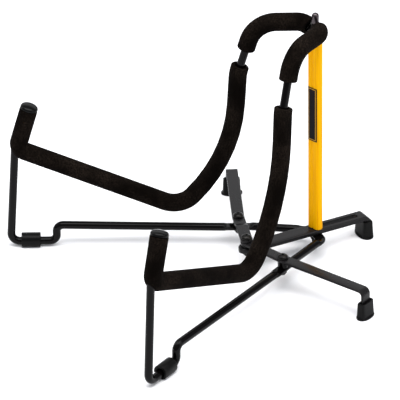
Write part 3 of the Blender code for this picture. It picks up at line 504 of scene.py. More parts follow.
def bar_outline(half_width, half_thickness, edge):
    """A flat bar's section, with rounded edges."""
    edge = min(edge, half_width * MOST_EDGE, half_thickness * MOST_EDGE)
    points = []
    for quarter, (sx, sy) in enumerate(((1, 1), (-1, 1), (-1, -1), (1, -1))):
        for i in range(5):
            angle = math.pi / 2 * (quarter + i / 4)
            points.append((sx * (half_width - edge) + edge * math.cos(angle),
                           sy * (half_thickness - edge) + edge * math.sin(angle)))
    return points


def post_outline(post, inset=0.0, groove=None):
    """The post's section: two round sides and two flats, each with a shallow groove."""
    groove = post.groove if groove is None else groove
    radius = post.lobe / 2 - inset
    half = post.span / 2
    round_points, flat_points = 25, 36
    points = []
    for end in (1, -1):
        for i in range(round_points):
            angle = math.pi * (i / (round_points - 1) - 0.5)
            points.append((end * (half + radius * math.cos(angle)), end * radius * math.sin(angle)))
        for i in range(1, flat_points):
            x = end * (half - 2 * half * i / flat_points)
            dip = groove * math.exp(-(2 * x / post.groove_width) ** GROOVE_POWER)
            points.append((x, end * (radius - dip)))
    c, s = math.cos(post.turn), math.sin(post.turn)
    return [(x * c - y * s, x * s + y * c) for x, y in points]


def level(outline, z, x=0.0, y=0.0):
    """A flat outline, laid at a height."""
    return [(x + px, y + py, z) for px, py in outline]


def stack(pairs, x=0.0, y=0.0):
    """Rings from (outline, height) pairs."""
    return [level(outline, z, x, y) for outline, z in pairs]


def turned(profile, x=0.0, y=0.0):
    """Rings from (radius, height) pairs."""
    return stack([(circle(radius), z) for radius, z in profile], x, y)


def drill(diameter, z, reach, x=0.0, y=0.0):
    """Cutter for a round hole, from below a height to above it."""
    return turned([(diameter / 2, z - reach), (diameter / 2, z + reach)], x, y)


def arc_profile(radius, z, edge, stop, steps):
    """(radius, height) pairs up round an edge whose centre is given, from level to an angle."""
    angles = [math.radians(stop * i / steps) for i in range(steps + 1)]
    return [(radius + edge * math.cos(a), z + edge * math.sin(a)) for a in angles]


# Making and finishing a piece

def link(name, data):
    """A new object in the scene for a mesh, a light or a camera."""
    made = bpy.data.objects.new(name, data)
    bpy.context.scene.collection.objects.link(made)
    return made


def close(shape, mesh, seam):
    """Merge doubled points, turn every face outwards and write the shape to its mesh."""
    bmesh.ops.remove_doubles(shape, verts=shape.verts, dist=seam)
    bmesh.ops.recalc_face_normals(shape, faces=shape.faces)
    shape.to_mesh(mesh)
    shape.free()


def shade(mesh, smooth):
    """Smooth shading that breaks at edges sharper than an angle in degrees."""
    mesh.shade_smooth()
    mesh.set_sharp_from_angle(angle=math.radians(smooth))


def skin(name, rings, hollow=False, place=Matrix(), smooth=SHARP):
    """A closed mesh from rings of equal count, capped at its ends or closed on itself."""
    shape = bmesh.new()
    rows = [[shape.verts.new(place @ Vector(point)) for point in ring] for ring in rings]
    pairs = list(zip(rows, rows[1:]))
    if hollow:
        pairs.append((rows[-1], rows[0]))
    else:
        shape.faces.new(rows[0])
        shape.faces.new(rows[-1])
    count = len(rows[0])
    for lower, upper in pairs:
        for i in range(count):
            j = (i + 1) % count
            shape.faces.new((lower[i], lower[j], upper[j], upper[i]))
    mesh = bpy.data.meshes.new(name)
    close(shape, mesh, SAME_POINT)
    shade(mesh, smooth)
    return link(name, mesh)


def bake(piece):
    """Turn a piece and its live modifiers into a plain mesh."""
    graph = bpy.context.evaluated_depsgraph_get()
    mesh = bpy.data.meshes.new_from_object(piece.evaluated_get(graph), depsgraph=graph)
    piece.modifiers.clear()
    piece.data = mesh


def cut(piece, tools, smooth):
    """Take closed shapes, given as rings with their place, out of a piece."""
    cutters = []
    for rings, place in tools:
        cutter = skin(piece.name + "_cutter", rings, place=place)
        cutters.append(cutter)
        boolean = piece.modifiers.new("Hole", "BOOLEAN")
        boolean.operation = "DIFFERENCE"
        boolean.solver = "EXACT"
        boolean.object = cutter
    bake(piece)
    for cutter in cutters:
        bpy.data.objects.remove(cutter)
    shade(piece.data, smooth)


def round_edges(piece, width):
    """Bevel a piece's sharp edges."""
    bevel = piece.modifiers.new("Rounded edges", "BEVEL")
    bevel.width = width
    bevel.segments = 3
    bevel.limit_method = "ANGLE"
    bevel.angle_limit = math.radians(50)
    bake(piece)
    shade(piece.data, ROD_SHARP)


def stand_for(piece, node, surface):
    """Give a piece its finish and the place of its node in the frame."""
    piece.data.materials.clear()
    piece.data.materials.append(finish(surface))
    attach(piece, BODY_OF[node])
    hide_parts(node)


def add_piece(node, rings, surface, hollow=False, place=Matrix(), holes=(), smooth=SHARP):
    """Make a skinned piece with its holes, in the place of a node."""
    piece = skin(node + "_finished", rings, hollow, place, smooth)
    if holes:
        cut(piece, holes, smooth)
    stand_for(piece, node, surface)
    return piece


# Node trees

def feed(tree, node, inputs):
    """Give a node's inputs their values, or link them from sockets."""
    for key, value in inputs.items():
        if isinstance(value, bpy.types.NodeSocket):
            tree.links.new(value, node.inputs[key])
        else:
            node.inputs[key].default_value = value


def add_node(tree, kind, inputs=None, **settings):
    """Add a node with its settings. An input takes a value, or a socket to link from."""
    node = tree.nodes.new(kind)
    for key, value in settings.items():
        setattr(node, key, value)
    feed(tree, node, inputs or {})
    return node


def per_mm(pitch):
    """Scale of a pattern on Object coordinates whose features are this many millimetres."""
    return 1.0 / (pitch * MM)


def new_material(name):
    """An empty material, its tree and its Object coordinates."""
    material = bpy.data.materials.new(name)
    material.use_nodes = True
    tree = material.node_tree
    return material, tree, add_node(tree, "ShaderNodeTexCoord").outputs["Object"]


def surfaced(material, inputs):
    """The material, once its shader has its inputs."""
    feed(material.node_tree, material.node_tree.nodes["Principled BSDF"], inputs)
    return material


def rgba(tint, factor=1.0):
    """A colour property as a socket value, made darker or lighter."""
    return (tint[0] * factor, tint[1] * factor, tint[2] * factor, 1.0)


def mottled(tree, place, pitch, detail, tint, shades, gloss):
    """Sockets of a tint and a roughness that drift together in patches."""
    patches = add_node(tree, "ShaderNodeTexNoise", {
        "Vector": place, "Scale": per_mm(pitch), "Detail": detail}).outputs["Fac"]
    tints = add_node(tree, "ShaderNodeMix", {
        "Factor": patches, "A": rgba(tint, shades[0]), "B": rgba(tint, shades[1])},
        data_type="RGBA")
    rough = add_node(tree, "ShaderNodeMapRange", {
        "Value": patches, "To Min": gloss[0], "To Max": gloss[1]})
    return tints.outputs["Result"], rough.outputs["Result"]


def powder_coat(name, tint, roughness, peel, shine):
    """Black polyester powder coat on steel, glossy on the rods and satin on the flat bars, with an
    orange-peel skin that breaks up a highlight's edge. The peel is 1.4 mm across, drawn coarser
    than real so that it shows."""
    material, tree, place = new_material(name)
    peels = add_node(tree, "ShaderNodeTexNoise", {
        "Vector": place, "Scale": per_mm(1.4), "Detail": 3.0})
    tints, gloss = mottled(tree, place, 22.0, 2.0, tint, (0.8, 1.25),
                           (roughness - 0.02, roughness + 0.05))
    bump = add_node(tree, "ShaderNodeBump", {
        "Height": peels.outputs["Fac"], "Strength": peel, "Distance": 0.06 * MM})
    return surfaced(material, {"Base Color": tints, "Roughness": gloss,
                               "Normal": bump.outputs["Normal"], "IOR": 1.5,
                               "Specular IOR Level": shine})


def closed_cell_foam(colours):
    """Nitrile closed-cell foam sleeve, cut from an extruded tube: dead matt and warm black, with a
    painted highlight speckle on its raised cells, stronger in random patches. The cells are drawn
    0.9 mm across."""
    material, tree, place = new_material("closed_cell_foam")
    cells = add_node(tree, "ShaderNodeTexVoronoi", {"Vector": place, "Scale": per_mm(0.9)})
    speckle = add_node(tree, "ShaderNodeTexNoise", {
        "Vector": place, "Scale": per_mm(1.6), "Detail": 5.0, "Roughness": 0.7})
    speckle_patches = add_node(tree, "ShaderNodeTexNoise", {
        "Vector": place, "Scale": per_mm(28.0), "Detail": 3.0})
    raised = add_node(tree, "ShaderNodeMapRange", {
        "Value": speckle.outputs["Fac"], "From Min": 0.42, "From Max": 0.72})
    patches = add_node(tree, "ShaderNodeMapRange", {
        "Value": speckle_patches.outputs["Fac"], "From Min": 0.36, "From Max": 0.66, "To Min": 0.04})
    # The factor named worn is where the painted highlight speckle shows: raised cells, stronger in
    # random patches
    worn = add_node(tree, "ShaderNodeMath", {
        0: raised.outputs["Result"], 1: patches.outputs["Result"]}, operation="MULTIPLY")
    shades = add_node(tree, "ShaderNodeMix", {
        "Factor": worn.outputs["Value"], "A": rgba(colours.foam), "B": rgba(colours.foam_painted_highlight)},
        data_type="RGBA")
    height = add_node(tree, "ShaderNodeMath", {
        0: cells.outputs["Distance"], 1: speckle.outputs["Fac"]}, operation="ADD")
    bump = add_node(tree, "ShaderNodeBump", {
        "Height": height.outputs["Value"], "Strength": 0.55, "Distance": 0.22 * MM})
    return surfaced(material, {"Base Color": shades.outputs["Result"],
                               "Normal": bump.outputs["Normal"], "Roughness": 0.96, "IOR": 1.4,
                               "Specular IOR Level": 0.03, "Sheen Weight": 0.003,
                               "Sheen Roughness": 0.6})


def moulded_rubber(name, tint, roughness, grain):
    """Moulded rubber or nylon: black, satin from a spark-eroded mould and glossier from a polished
    one, with its bloom in patches. The mould's grain is drawn 0.7 mm across."""
    material, tree, place = new_material(name)
    mould = add_node(tree, "ShaderNodeTexNoise", {
        "Vector": place, "Scale": per_mm(0.7), "Detail": 4.0, "Roughness": 0.65})
    tints, gloss = mottled(tree, place, 9.0, 3.0, tint, (0.75, 1.4),
                           (roughness - 0.06, roughness + 0.08))
    bump = add_node(tree, "ShaderNodeBump", {
        "Height": mould.outputs["Fac"], "Strength": grain, "Distance": 0.08 * MM})
    return surfaced(material, {"Base Color": tints, "Roughness": gloss,
                               "Normal": bump.outputs["Normal"], "IOR": 1.52,
                               "Specular IOR Level": 0.09})


def yellow_lacquer(colours):
    """Baked yellow lacquer on extruded aluminium: the die's lines run up the post, 1.2 mm apart, as
    faint bumps, and the colour follows them in streaks of painted shade and painted highlight."""
    material, tree, place = new_material("yellow_lacquer")
    drawn = add_node(tree, "ShaderNodeMapping", {"Vector": place, "Scale": (1.0, 1.0, 0.01)})
    lines = add_node(tree, "ShaderNodeTexNoise", {
        "Vector": drawn.outputs["Vector"], "Scale": per_mm(1.2), "Detail": 2.0})
    cloud = add_node(tree, "ShaderNodeTexNoise", {
        "Vector": place, "Scale": per_mm(18.0), "Detail": 2.0})
    # Streaks of painted shade and painted highlight along the die lines
    painted_streaks = add_node(tree, "ShaderNodeMapRange", {
        "Value": lines.outputs["Fac"], "From Min": 0.3, "From Max": 0.52})
    shades = add_node(tree, "ShaderNodeMix", {
        "Factor": painted_streaks.outputs["Result"], "A": rgba(colours.post_painted_shade),
        "B": rgba(colours.post)}, data_type="RGBA")
    gloss = add_node(tree, "ShaderNodeMapRange", {
        "Value": cloud.outputs["Fac"], "To Min": 0.26, "To Max": 0.36})
    bump = add_node(tree, "ShaderNodeBump", {
        "Height": lines.outputs["Fac"], "Strength": 0.35, "Distance": 0.03 * MM})
    return surfaced(material, {"Base Color": shades.outputs["Result"],
                               "Roughness": gloss.outputs["Result"],
                               "Normal": bump.outputs["Normal"], "IOR": 1.5,
                               "Specular IOR Level": 0.04})


def label_film(colours, post):
    """Printed polyester label: satin black with one thin line set in from its edge. Its UV map
    runs once across and once up, so sizes are taken from the label's own."""
    material, tree, place = new_material("printed_label")
    across = add_node(tree, "ShaderNodeSeparateXYZ", {
        "Vector": add_node(tree, "ShaderNodeTexCoord").outputs["UV"]})
    nearest = []
    for axis, extent in (("X", post.label_width), ("Y", post.label_height)):
        middle = add_node(tree, "ShaderNodeMath", {0: across.outputs[axis], 1: 0.5},
                          operation="SUBTRACT")
        away = add_node(tree, "ShaderNodeMath", {0: middle.outputs["Value"]}, operation="ABSOLUTE")
        nearest.append(add_node(tree, "ShaderNodeMath", {
            0: away.outputs["Value"], 1: -extent, 2: extent / 2}, operation="MULTIPLY_ADD"))
    edge = add_node(tree, "ShaderNodeMath", {
        0: nearest[0].outputs["Value"], 1: nearest[1].outputs["Value"], 2: 0.6 * MM},
        operation="SMOOTH_MIN")
    line = add_node(tree, "ShaderNodeMath", {
        0: edge.outputs["Value"], 1: post.border_inset, 2: post.border_line / 2},
        operation="COMPARE")
    mottle = add_node(tree, "ShaderNodeTexNoise", {"Vector": place, "Scale": per_mm(2.5)})
    ink = add_node(tree, "ShaderNodeMix", {
        "Factor": mottle.outputs["Fac"], "A": rgba(colours.label, 0.7),
        "B": rgba(colours.label, 1.5)}, data_type="RGBA")
    shades = add_node(tree, "ShaderNodeMix", {
        "Factor": line.outputs["Value"], "A": ink.outputs["Result"],
        "B": rgba(colours.border)}, data_type="RGBA")
    bump = add_node(tree, "ShaderNodeBump", {
        "Height": mottle.outputs["Fac"], "Strength": 0.2, "Distance": 0.03 * MM})
    return surfaced(material, {"Base Color": shades.outputs["Result"],
                               "Normal": bump.outputs["Normal"], "Roughness": 0.4,
                               "Specular IOR Level": 0.06})


def plated_steel(name, tint, roughness):
    """Turned and plated steel: its plating keeps the lathe's fine rings, which spread a highlight
    along the part. They are 0.69 mm apart, drawn coarser than real so that they show."""
    material, tree, place = new_material(name)
    # At scale 1 the wave's bands are a tenth of pi apart
    rings = add_node(tree, "ShaderNodeTexWave", {
        "Vector": place, "Scale": per_mm(0.69) * math.pi / 10, "Distortion": 1.5,
        "Detail": 2.0}, bands_direction="Z")
    tints, gloss = mottled(tree, place, 4.0, 2.0, tint, (0.8, 1.3),
                           (roughness - 0.05, roughness + 0.08))
    bump = add_node(tree, "ShaderNodeBump", {
        "Height": rings.outputs["Fac"], "Strength": 0.2, "Distance": 0.02 * MM})
    return surfaced(material, {"Base Color": tints, "Roughness": gloss,
                               "Normal": bump.outputs["Normal"], "Metallic": 0.85})


def studio_floor(colours):
    """Seamless studio paper: matt and nearly white, with the paper's faint tooth."""
    material, tree, place = new_material("studio_paper")
    tooth = add_node(tree, "ShaderNodeTexNoise", {"Vector": place, "Scale": per_mm(3.0)})
    bump = add_node(tree, "ShaderNodeBump", {
        "Height": tooth.outputs["Fac"], "Strength": 0.05, "Distance": 0.1 * MM})
    return surfaced(material, {"Base Color": rgba(colours.floor), "Roughness": 1.0,
                               "Normal": bump.outputs["Normal"], "Specular IOR Level": 0.0})


def finish(name):
    """The named material, made once from the scene's colours."""
    made = bpy.data.materials.get(name)
    if made:
        return made
    colours, post = bpy.context.scene.stand_colours, bpy.context.scene.stand_post
    makers = {
        "rod_powder_coat": lambda: powder_coat(name, colours.rod, roughness=0.07, peel=0.05,
                                               shine=0.105),
        "bar_powder_coat": lambda: powder_coat(name, colours.bar, roughness=0.26, peel=0.25,
                                               shine=0.12),
        "closed_cell_foam": lambda: closed_cell_foam(colours),
        "boot_rubber": lambda: moulded_rubber(name, colours.rubber, roughness=0.36, grain=0.3),
        "cap_rubber": lambda: moulded_rubber(name, colours.rubber, roughness=0.16, grain=0.12),
        "yellow_lacquer": lambda: yellow_lacquer(colours),
        "printed_label": lambda: label_film(colours, post),
        "black_oxide_steel": lambda: plated_steel(name, colours.bolt, roughness=0.3),
        "black_nickel": lambda: plated_steel(name, colours.nickel, roughness=0.14),
        "zinc_plated_steel": lambda: plated_steel(name, colours.zinc, roughness=0.35),
        "moulded_nylon": lambda: moulded_rubber(name, colours.nylon, roughness=0.4, grain=0.3),
    }
    return makers[name]()


def sleeve_tree(material):
    """Geometry nodes that sweep a circle along each line of points, by the radius it carries, and
    join the outer skin and the bore where they meet at the cut ends."""
    tree = bpy.data.node_groups.new("Foam sleeve on a path", "GeometryNodeTree")
    for name, way, kind in (("Geometry", "INPUT", "Geometry"), ("Sides", "INPUT", "Int"),
                            ("Girth", "INPUT", "Float"), ("Geometry", "OUTPUT", "Geometry")):
        tree.interface.new_socket(name, in_out=way, socket_type="NodeSocket" + kind)
    given = add_node(tree, "NodeGroupInput")
    radius = add_node(tree, "GeometryNodeInputNamedAttribute", {"Name": "sleeve_radius"},
                      data_type="FLOAT")
    girth = add_node(tree, "ShaderNodeMath", {
        0: radius.outputs["Attribute"], 1: given.outputs["Girth"]}, operation="MULTIPLY")
    lines = add_node(tree, "GeometryNodeMeshToCurve", {"Mesh": given.outputs["Geometry"]})
    sized = add_node(tree, "GeometryNodeSetCurveRadius", {
        "Curve": lines.outputs["Curve"], "Radius": girth.outputs["Value"]})
    ring = add_node(tree, "GeometryNodeCurvePrimitiveCircle", {
        "Resolution": given.outputs["Sides"], "Radius": 1.0})
    tube = add_node(tree, "GeometryNodeCurveToMesh", {
        "Curve": sized.outputs["Curve"], "Profile Curve": ring.outputs["Curve"]})
    scale = tube.inputs.get("Scale")
    if scale:
        tree.links.new(girth.outputs["Value"], scale)
    joined = add_node(tree, "GeometryNodeMergeByDistance", {
        "Geometry": tube.outputs["Mesh"], "Distance": 0.01 * MM})
    real = add_node(tree, "GeometryNodeRealizeInstances", {"Geometry": joined.outputs["Geometry"]})
    dressed = add_node(tree, "GeometryNodeSetMaterial", {
        "Geometry": real.outputs["Geometry"], "Material": material})
    add_node(tree, "NodeGroupOutput", {"Geometry": dressed.outputs["Geometry"]})
    return tree


# Foam sleeves

def sleeve_stations(path, start, end, foam):
    """Two lines of (point, radius): the outer skin with its worn ends, and the bore inside it."""
    outer, bore, mouth, edge = foam.diameter / 2, foam.bore / 2, foam.mouth / 2, foam.edge
    sliver, clear = 0.012 * MM, 0.2 * MM
    worn = [(edge * (1 - math.cos(a)) + 2 * sliver, outer - edge * (1 - math.sin(a)))
            for a in map(math.radians, WORN_STEPS)]
    outer_end = [(0.0, mouth), (sliver, outer - edge), *worn]
    bore_end = [(0.0, mouth), (1.2 * MM, mouth - 0.5 * MM), (2.6 * MM, bore + 0.25 * MM),
                (4.5 * MM, bore)]
    lines = []
    for ends, body in ((outer_end, outer), (bore_end, bore)):
        profile = [(start + inset, radius) for inset, radius in ends]
        profile += [(end - inset, radius) for inset, radius in reversed(ends)]
        first, last = profile[len(ends) - 1][0], profile[len(ends)][0]
        profile += [(d, body) for d in lengths(path) if first + clear < d < last - clear]
        lines.append([(along(path, d), radius) for d, radius in sorted(profile)])
    return lines


def make_sleeve(node, path, start, end, place):
    """One foam sleeve, swept by geometry nodes and baked."""
    mesh = bpy.data.meshes.new(node + "_finished")
    points, edges, radii = [], [], []
    for line in sleeve_stations(path, start, end, bpy.context.scene.stand_foam):
        first = len(points)
        points += [place @ point for point, _ in line]
        radii += [radius for _, radius in line]
        edges += [(i, i + 1) for i in range(first, len(points) - 1)]
    mesh.from_pydata(points, edges, [])
    mesh.attributes.new("sleeve_radius", "FLOAT", "POINT").data.foreach_set("value", radii)
    piece = link(node + "_finished", mesh)
    tree = sleeve_tree(finish("closed_cell_foam"))
    nodes = piece.modifiers.new("Sleeve", "NODES")
    nodes.node_group = tree
    sockets = {item.name: item.identifier for item in tree.interface.items_tree
               if item.in_out == "INPUT"}
    nodes[sockets["Sides"]] = FOAM_SIDES
    nodes[sockets["Girth"]] = 1.0
    bake(piece)
    shape = bmesh.new()
    shape.from_mesh(piece.data)
    close(shape, piece.data, SLEEVE_SEAM)
    shade(piece.data, FOAM_SHARP)
    stand_for(piece, node, "closed_cell_foam")


class STAND_OT_foam(bpy.types.Operator):
    """Sleeve the lips, cradles, backs and shoulders in foam"""
    bl_idname = "stand.foam"
    bl_label = "Foam sleeves"

    def execute(self, context):
        foam, rubber = context.scene.stand_foam, context.scene.stand_rubber
        lip, corner, low = Vector(LIP_TIP), Vector(ARM_BENDS[0][0]), Vector(ARM_BENDS[1][0])
        halfway = (lip - corner).length + (corner - low).length / 2
        for name, side in SIDES.items():
            path, place = arm_path(name), frame_place(side)
            cradle_end = where_height(path, CRADLE_FOAM_TOP_Z[name], halfway)
            shoulder_start = where_height(path, SHOULDER_FOAM_START_Z[name], halfway)
            wanted_end = lengths(path)[-1] - foam.bare_end
            shoulder_end = min(lengths(path), key=lambda d: abs(d - wanted_end))
            make_sleeve(name + "_cradle_foam", path, rubber.cap_socket + GAP, cradle_end, place)
            make_sleeve(name + "_shoulder_foam", path, shoulder_start, shoulder_end, place)
        return {"FINISHED"}


# Rods

def spread(start, length):
    """Places at equal steps over a length."""
    return [start + length * i / NECK_STEPS for i in range(NECK_STEPS + 1)]


def ease(share, start, end):
    """From one size to another, with no corner at either."""
    return start + (end - start) * share * share * (3 - 2 * share)


def eye_stations(path, eye_t, flat, neck):
    """Stations that end a rod in a flat round eye, and the half sizes along them."""
    steel = bpy.context.scene.stand_steel
    rod_r, eye_r = steel.rod / 2, steel.eye / 2
    end = lengths(path)[-1]
    neck_start = end - flat - neck
    inward = (path[-1] - path[-2]).normalized()
    stations = stations_between(path, 0.0, end, spread(neck_start, neck))
    for degrees in EYE_STEPS:
        reach = eye_r * math.sin(math.radians(degrees))
        stations.append((end + reach, path[-1] + inward * reach))

    def half_sizes(distance):
        share = max(0.0, (distance - neck_start) / neck)
        if share < 1:
            return ease(share, rod_r, eye_r), ease(share, rod_r, eye_t / 2)
        reach = min(max(distance - end, 0) / eye_r, 1)
        return eye_r * math.sqrt(1 - reach * reach), eye_t / 2

    return stations, half_sizes


def rod_outline(half_width, half_thickness):
    """Round rod, or the squarer oval of rod that has been pressed flat."""
    power = 2 + 3 * (1 - min(half_thickness / half_width, 1))
    return squarish(2 * half_width, 2 * half_thickness, ROD_SIDES, power)


class STAND_OT_arm_rods(bpy.types.Operator):
    """Bend the arm rods, from their lips to the eyes on the tie rod"""
    bl_idname = "stand.arm_rods"
    bl_label = "Arm rods"

    def execute(self, context):
        for name, side in SIDES.items():
            path, place = arm_path(name), frame_place(side)
            stations, half_sizes = eye_stations(path, ARM_EYE_T, ARM_EYE_FLAT, ARM_EYE_NECK)
            rings = sweep(stations, lambda d: rod_outline(*half_sizes(d)), (1, 0, 0))
            holes = [(drill(TIE_HOLE_D, ARM_EYE_Z[name], ARM_EYE_T), place)]
            add_piece(name + "_arm_rod", rings, "rod_powder_coat", place=place, holes=holes,
                      smooth=ROD_SHARP)
        return {"FINISHED"}


class STAND_OT_leg_rods(bpy.types.Operator):
    """Bend the leg rods, with the pressed pads for their pivots and the eyes under the post"""
    bl_idname = "stand.leg_rods"
    bl_label = "Leg rods"

    def execute(self, context):
        rod_r = context.scene.stand_steel.rod / 2
        for name, side in SIDES.items():
            path, place = leg_path(name), frame_place(side)
            path[0] += (path[0] - path[1]).normalized() * WELD_REACH
            total = lengths(path)
            pads = [total[i] for i, p in enumerate(path) if p.z < PIVOT_Z + MM
                    and abs(abs(-p.y - PIVOT_AHEAD) - PAD_LENGTH / 2) < 2 * SAME_STATION]
            pad_start, pad_end = pads[0], pads[-1]
            stations, half_sizes = eye_stations(path, LEG_EYE_T, LEG_EYE_FLAT, LEG_EYE_NECK)
            necks = spread(pad_start, PAD_NECK) + spread(pad_end, -PAD_NECK)
            stations += [(d, along(path, d)) for d in necks
                         if min(abs(d - known) for known, _ in stations) > SAME_STATION]
            stations.sort(key=lambda station: station[0])

            def outline_at(distance):
                if not pad_start < distance < pad_end:
                    return rod_outline(*half_sizes(distance))
                share = min(1, (distance - pad_start) / PAD_NECK, (pad_end - distance) / PAD_NECK)
                return rod_outline(ease(share, rod_r, PAD_W / 2), ease(share, rod_r, PAD_T / 2))

            pivot = frame_point(side, PIVOT_AHEAD, PIVOT_Z)
            holes = [(drill(TIE_HOLE_D, LEG_EYE_Z[name], LEG_EYE_T), place),
                     (drill(BOLT_HOLE_D, PIVOT_Z, PAD_T, pivot.x, pivot.y), place)]
            add_piece(name + "_leg_rod", sweep(stations, outline_at, (1, 0, 0)),
                      "rod_powder_coat", place=place, holes=holes, smooth=ROD_SHARP)
        return {"FINISHED"}


# Rubber on the frames

class STAND_OT_lip_caps(bpy.types.Operator):
    """Cap the tips of the lips"""
    bl_idname = "stand.lip_caps"
    bl_label = "Lip caps"

    def execute(self, context):
        foam, rubber = context.scene.stand_foam, context.scene.stand_rubber
        radius, bore, broken = foam.diameter / 2 - CAP_UNDER_FOAM, foam.bore / 2, 0.5 * MM
        mouth, top = -rubber.cap_socket, rubber.cap_length - rubber.cap_socket
        profile = [(bore, GAP), (bore, mouth), (radius - broken, mouth), (radius, mouth + broken)]
        profile += arc_profile(radius - CAP_EDGE, top - CAP_EDGE - CAP_EDGE_DROP, CAP_EDGE, 66, 8)
        profile += [(radius * share, top - drop) for share, drop in CAP_DOME]
        across = Vector((1, 0, 0))
        for name, side in SIDES.items():
            tip, corner = frame_point(side, *LIP_TIP), frame_point(side, *ARM_BENDS[0][0])
            up = (tip - corner).normalized()
            ahead = up.cross(across)
            rings = [[tip + up * reach + across * x + ahead * y for x, y in circle(r)]
                     for r, reach in profile]
            add_piece(name + "_lip_cap", rings, "cap_rubber", place=frame_place(side))
        return {"FINISHED"}


class STAND_OT_foot_clips(bpy.types.Operator):
    """Clip rubber feet round the leg rods' runs at the floor"""
    bl_idname = "stand.foot_clips"
    bl_label = "Foot clips"

    def execute(self, context):
        rubber, bore_r = context.scene.stand_rubber, context.scene.stand_steel.rod / 2 + GAP
        start, stop = CLIP_MOUTH
        angles = [start + (stop - start) * i / CLIP_SIDES for i in range(CLIP_SIDES + 1)]
        half = rubber.clip_width / 2
        outline = []
        for angle in angles:
            x, z = superellipse(angle, half, half, 2 if math.sin(angle) > 0 else CLIP_POWER)
            outline.append((x, max(0.0, CLIP_CENTRE_Z + z)))
        for angle in reversed(angles):
            headroom = CLIP_HEADROOM * math.sqrt(max(0, math.sin(angle)))
            outline.append((bore_r * math.cos(angle), FOOT_Z + headroom + bore_r * math.sin(angle)))
        for name, side in SIDES.items():
            node = name + "_foot_clip"
            rings = [[(side * FRAME_OFFSET + x, -(CLIP_AHEAD[name] + end * rubber.clip_length), z)
                      for x, z in outline] for end in (-0.5, 0.5)]
            piece = skin(node + "_finished", rings, place=frame_place(side))
            round_edges(piece, CLIP_EDGE)
            stand_for(piece, node, "boot_rubber")
        return {"FINISHED"}


# Flat bars

def bar_rings(path, width, thickness, edge, side):
    """Rings of a flat bar whose first end is round."""
    half = width / 2
    out = (path[0] - path[1]).normalized()
    stations = []
    for degrees in BAR_STEPS:
        reach = half * math.sin(math.radians(degrees))
        stations.append((-reach, path[0] + out * reach))
    end = lengths(path)[-1]
    stations += stations_between(path, 0.0, end, (end - edge,))

    def outline_at(distance):
        shrink = edge if distance > end - edge / 2 else 0.0
        across = half if distance >= 0 else math.sqrt(half ** 2 - distance ** 2)
        return bar_outline(across - shrink, thickness / 2 - shrink, edge)

    return sweep(stations, outline_at, side)


def leg_foot(side, z):
    """Where a rear leg turns down, in that leg's own axes."""
    return Matrix.Rotation(side * LEG_DOGLEG, 3, "Z") @ Vector((side * LEG_OUTER, 0, z))


class STAND_OT_rear_legs(bpy.types.Operator):
    """Bend the flat rear legs, and joggle the left one over the right"""
    bl_idname = "stand.rear_legs"
    bl_label = "Rear legs"

    def execute(self, context):
        steel = context.scene.stand_steel
        mid = BAR_Z + steel.bar_thickness / 2
        for name, side in SIDES.items():
            foot, place = leg_foot(side, mid), leg_place(side)
            lift = steel.bar_thickness + GAP if name == "left" else 0.0
            corners = [(Vector((-side * LEG_INNER, 0, mid + lift)), 0)]
            if lift:
                step = side * (JOGGLE_FROM_PIVOT - LEG_INNER)
                corners += [(Vector((step, 0, mid + lift)), JOGGLE_R),
                            (Vector((step + side * JOGGLE_RUN, 0, mid)), JOGGLE_R)]
            corners += [(Vector((0, 0, mid)), 0), (foot, BAR_BEND_R),
                        (Vector((foot.x, foot.y, BAR_END_Z)), 0)]
            rings = bar_rings(rounded_path(corners), steel.bar_width, steel.bar_thickness,
                              steel.bar_edge, (0, 1, 0))
            holes = [(drill(BAR_HOLE_D, z, steel.bar_thickness, x), place)
                     for x, z in ((0.0, mid), (-side * LEG_INNER, mid + lift))]
            add_piece(name + "_rear_leg", rings, "bar_powder_coat", place=place, holes=holes,
                      smooth=BAR_SHARP)
        return {"FINISHED"}


class STAND_OT_centre_bar(bpy.types.Operator):
    """Slot the bar that slides on the tie rod"""
    bl_idname = "stand.centre_bar"
    bl_label = "Centre bar"

    def execute(self, context):
        steel = context.scene.stand_steel
        thick, foot_y = steel.centre_thickness, TIE_Y + CENTRE_FOOT_BEHIND
        mid, reach = CENTRE_BAR_Z + thick / 2, thick / 2 + MM
        path = rounded_path([(Vector((0, CENTRE_PIVOT.y, mid)), 0),
                             (Vector((0, foot_y, mid)), CENTRE_BEND_R),
                             (Vector((0, foot_y, BAR_END_Z)), 0)])
        rings = bar_rings(path, steel.centre_width, thick, steel.centre_edge, (1, 0, 0))
        travel = JOINTS["centre_bar_slide"]["range_m"][1]
        slot = []
        for centre, start in ((TIE_Y + travel + GAP, 0.0), (TIE_Y - GAP, math.pi)):
            for i in range(SLOT_STEPS + 1):
                angle = start + math.pi * i / SLOT_STEPS
                slot.append((SLOT_W / 2 * math.cos(angle), centre + SLOT_W / 2 * math.sin(angle)))
        holes = [(stack([(slot, mid - reach), (slot, mid + reach)]), Matrix()),
                 (drill(BOLT_HOLE_D, mid, reach, 0.0, CENTRE_PIVOT.y), Matrix())]
        add_piece("centre_bar", rings, "bar_powder_coat", holes=holes, smooth=BAR_SHARP)
        return {"FINISHED"}


# Boots

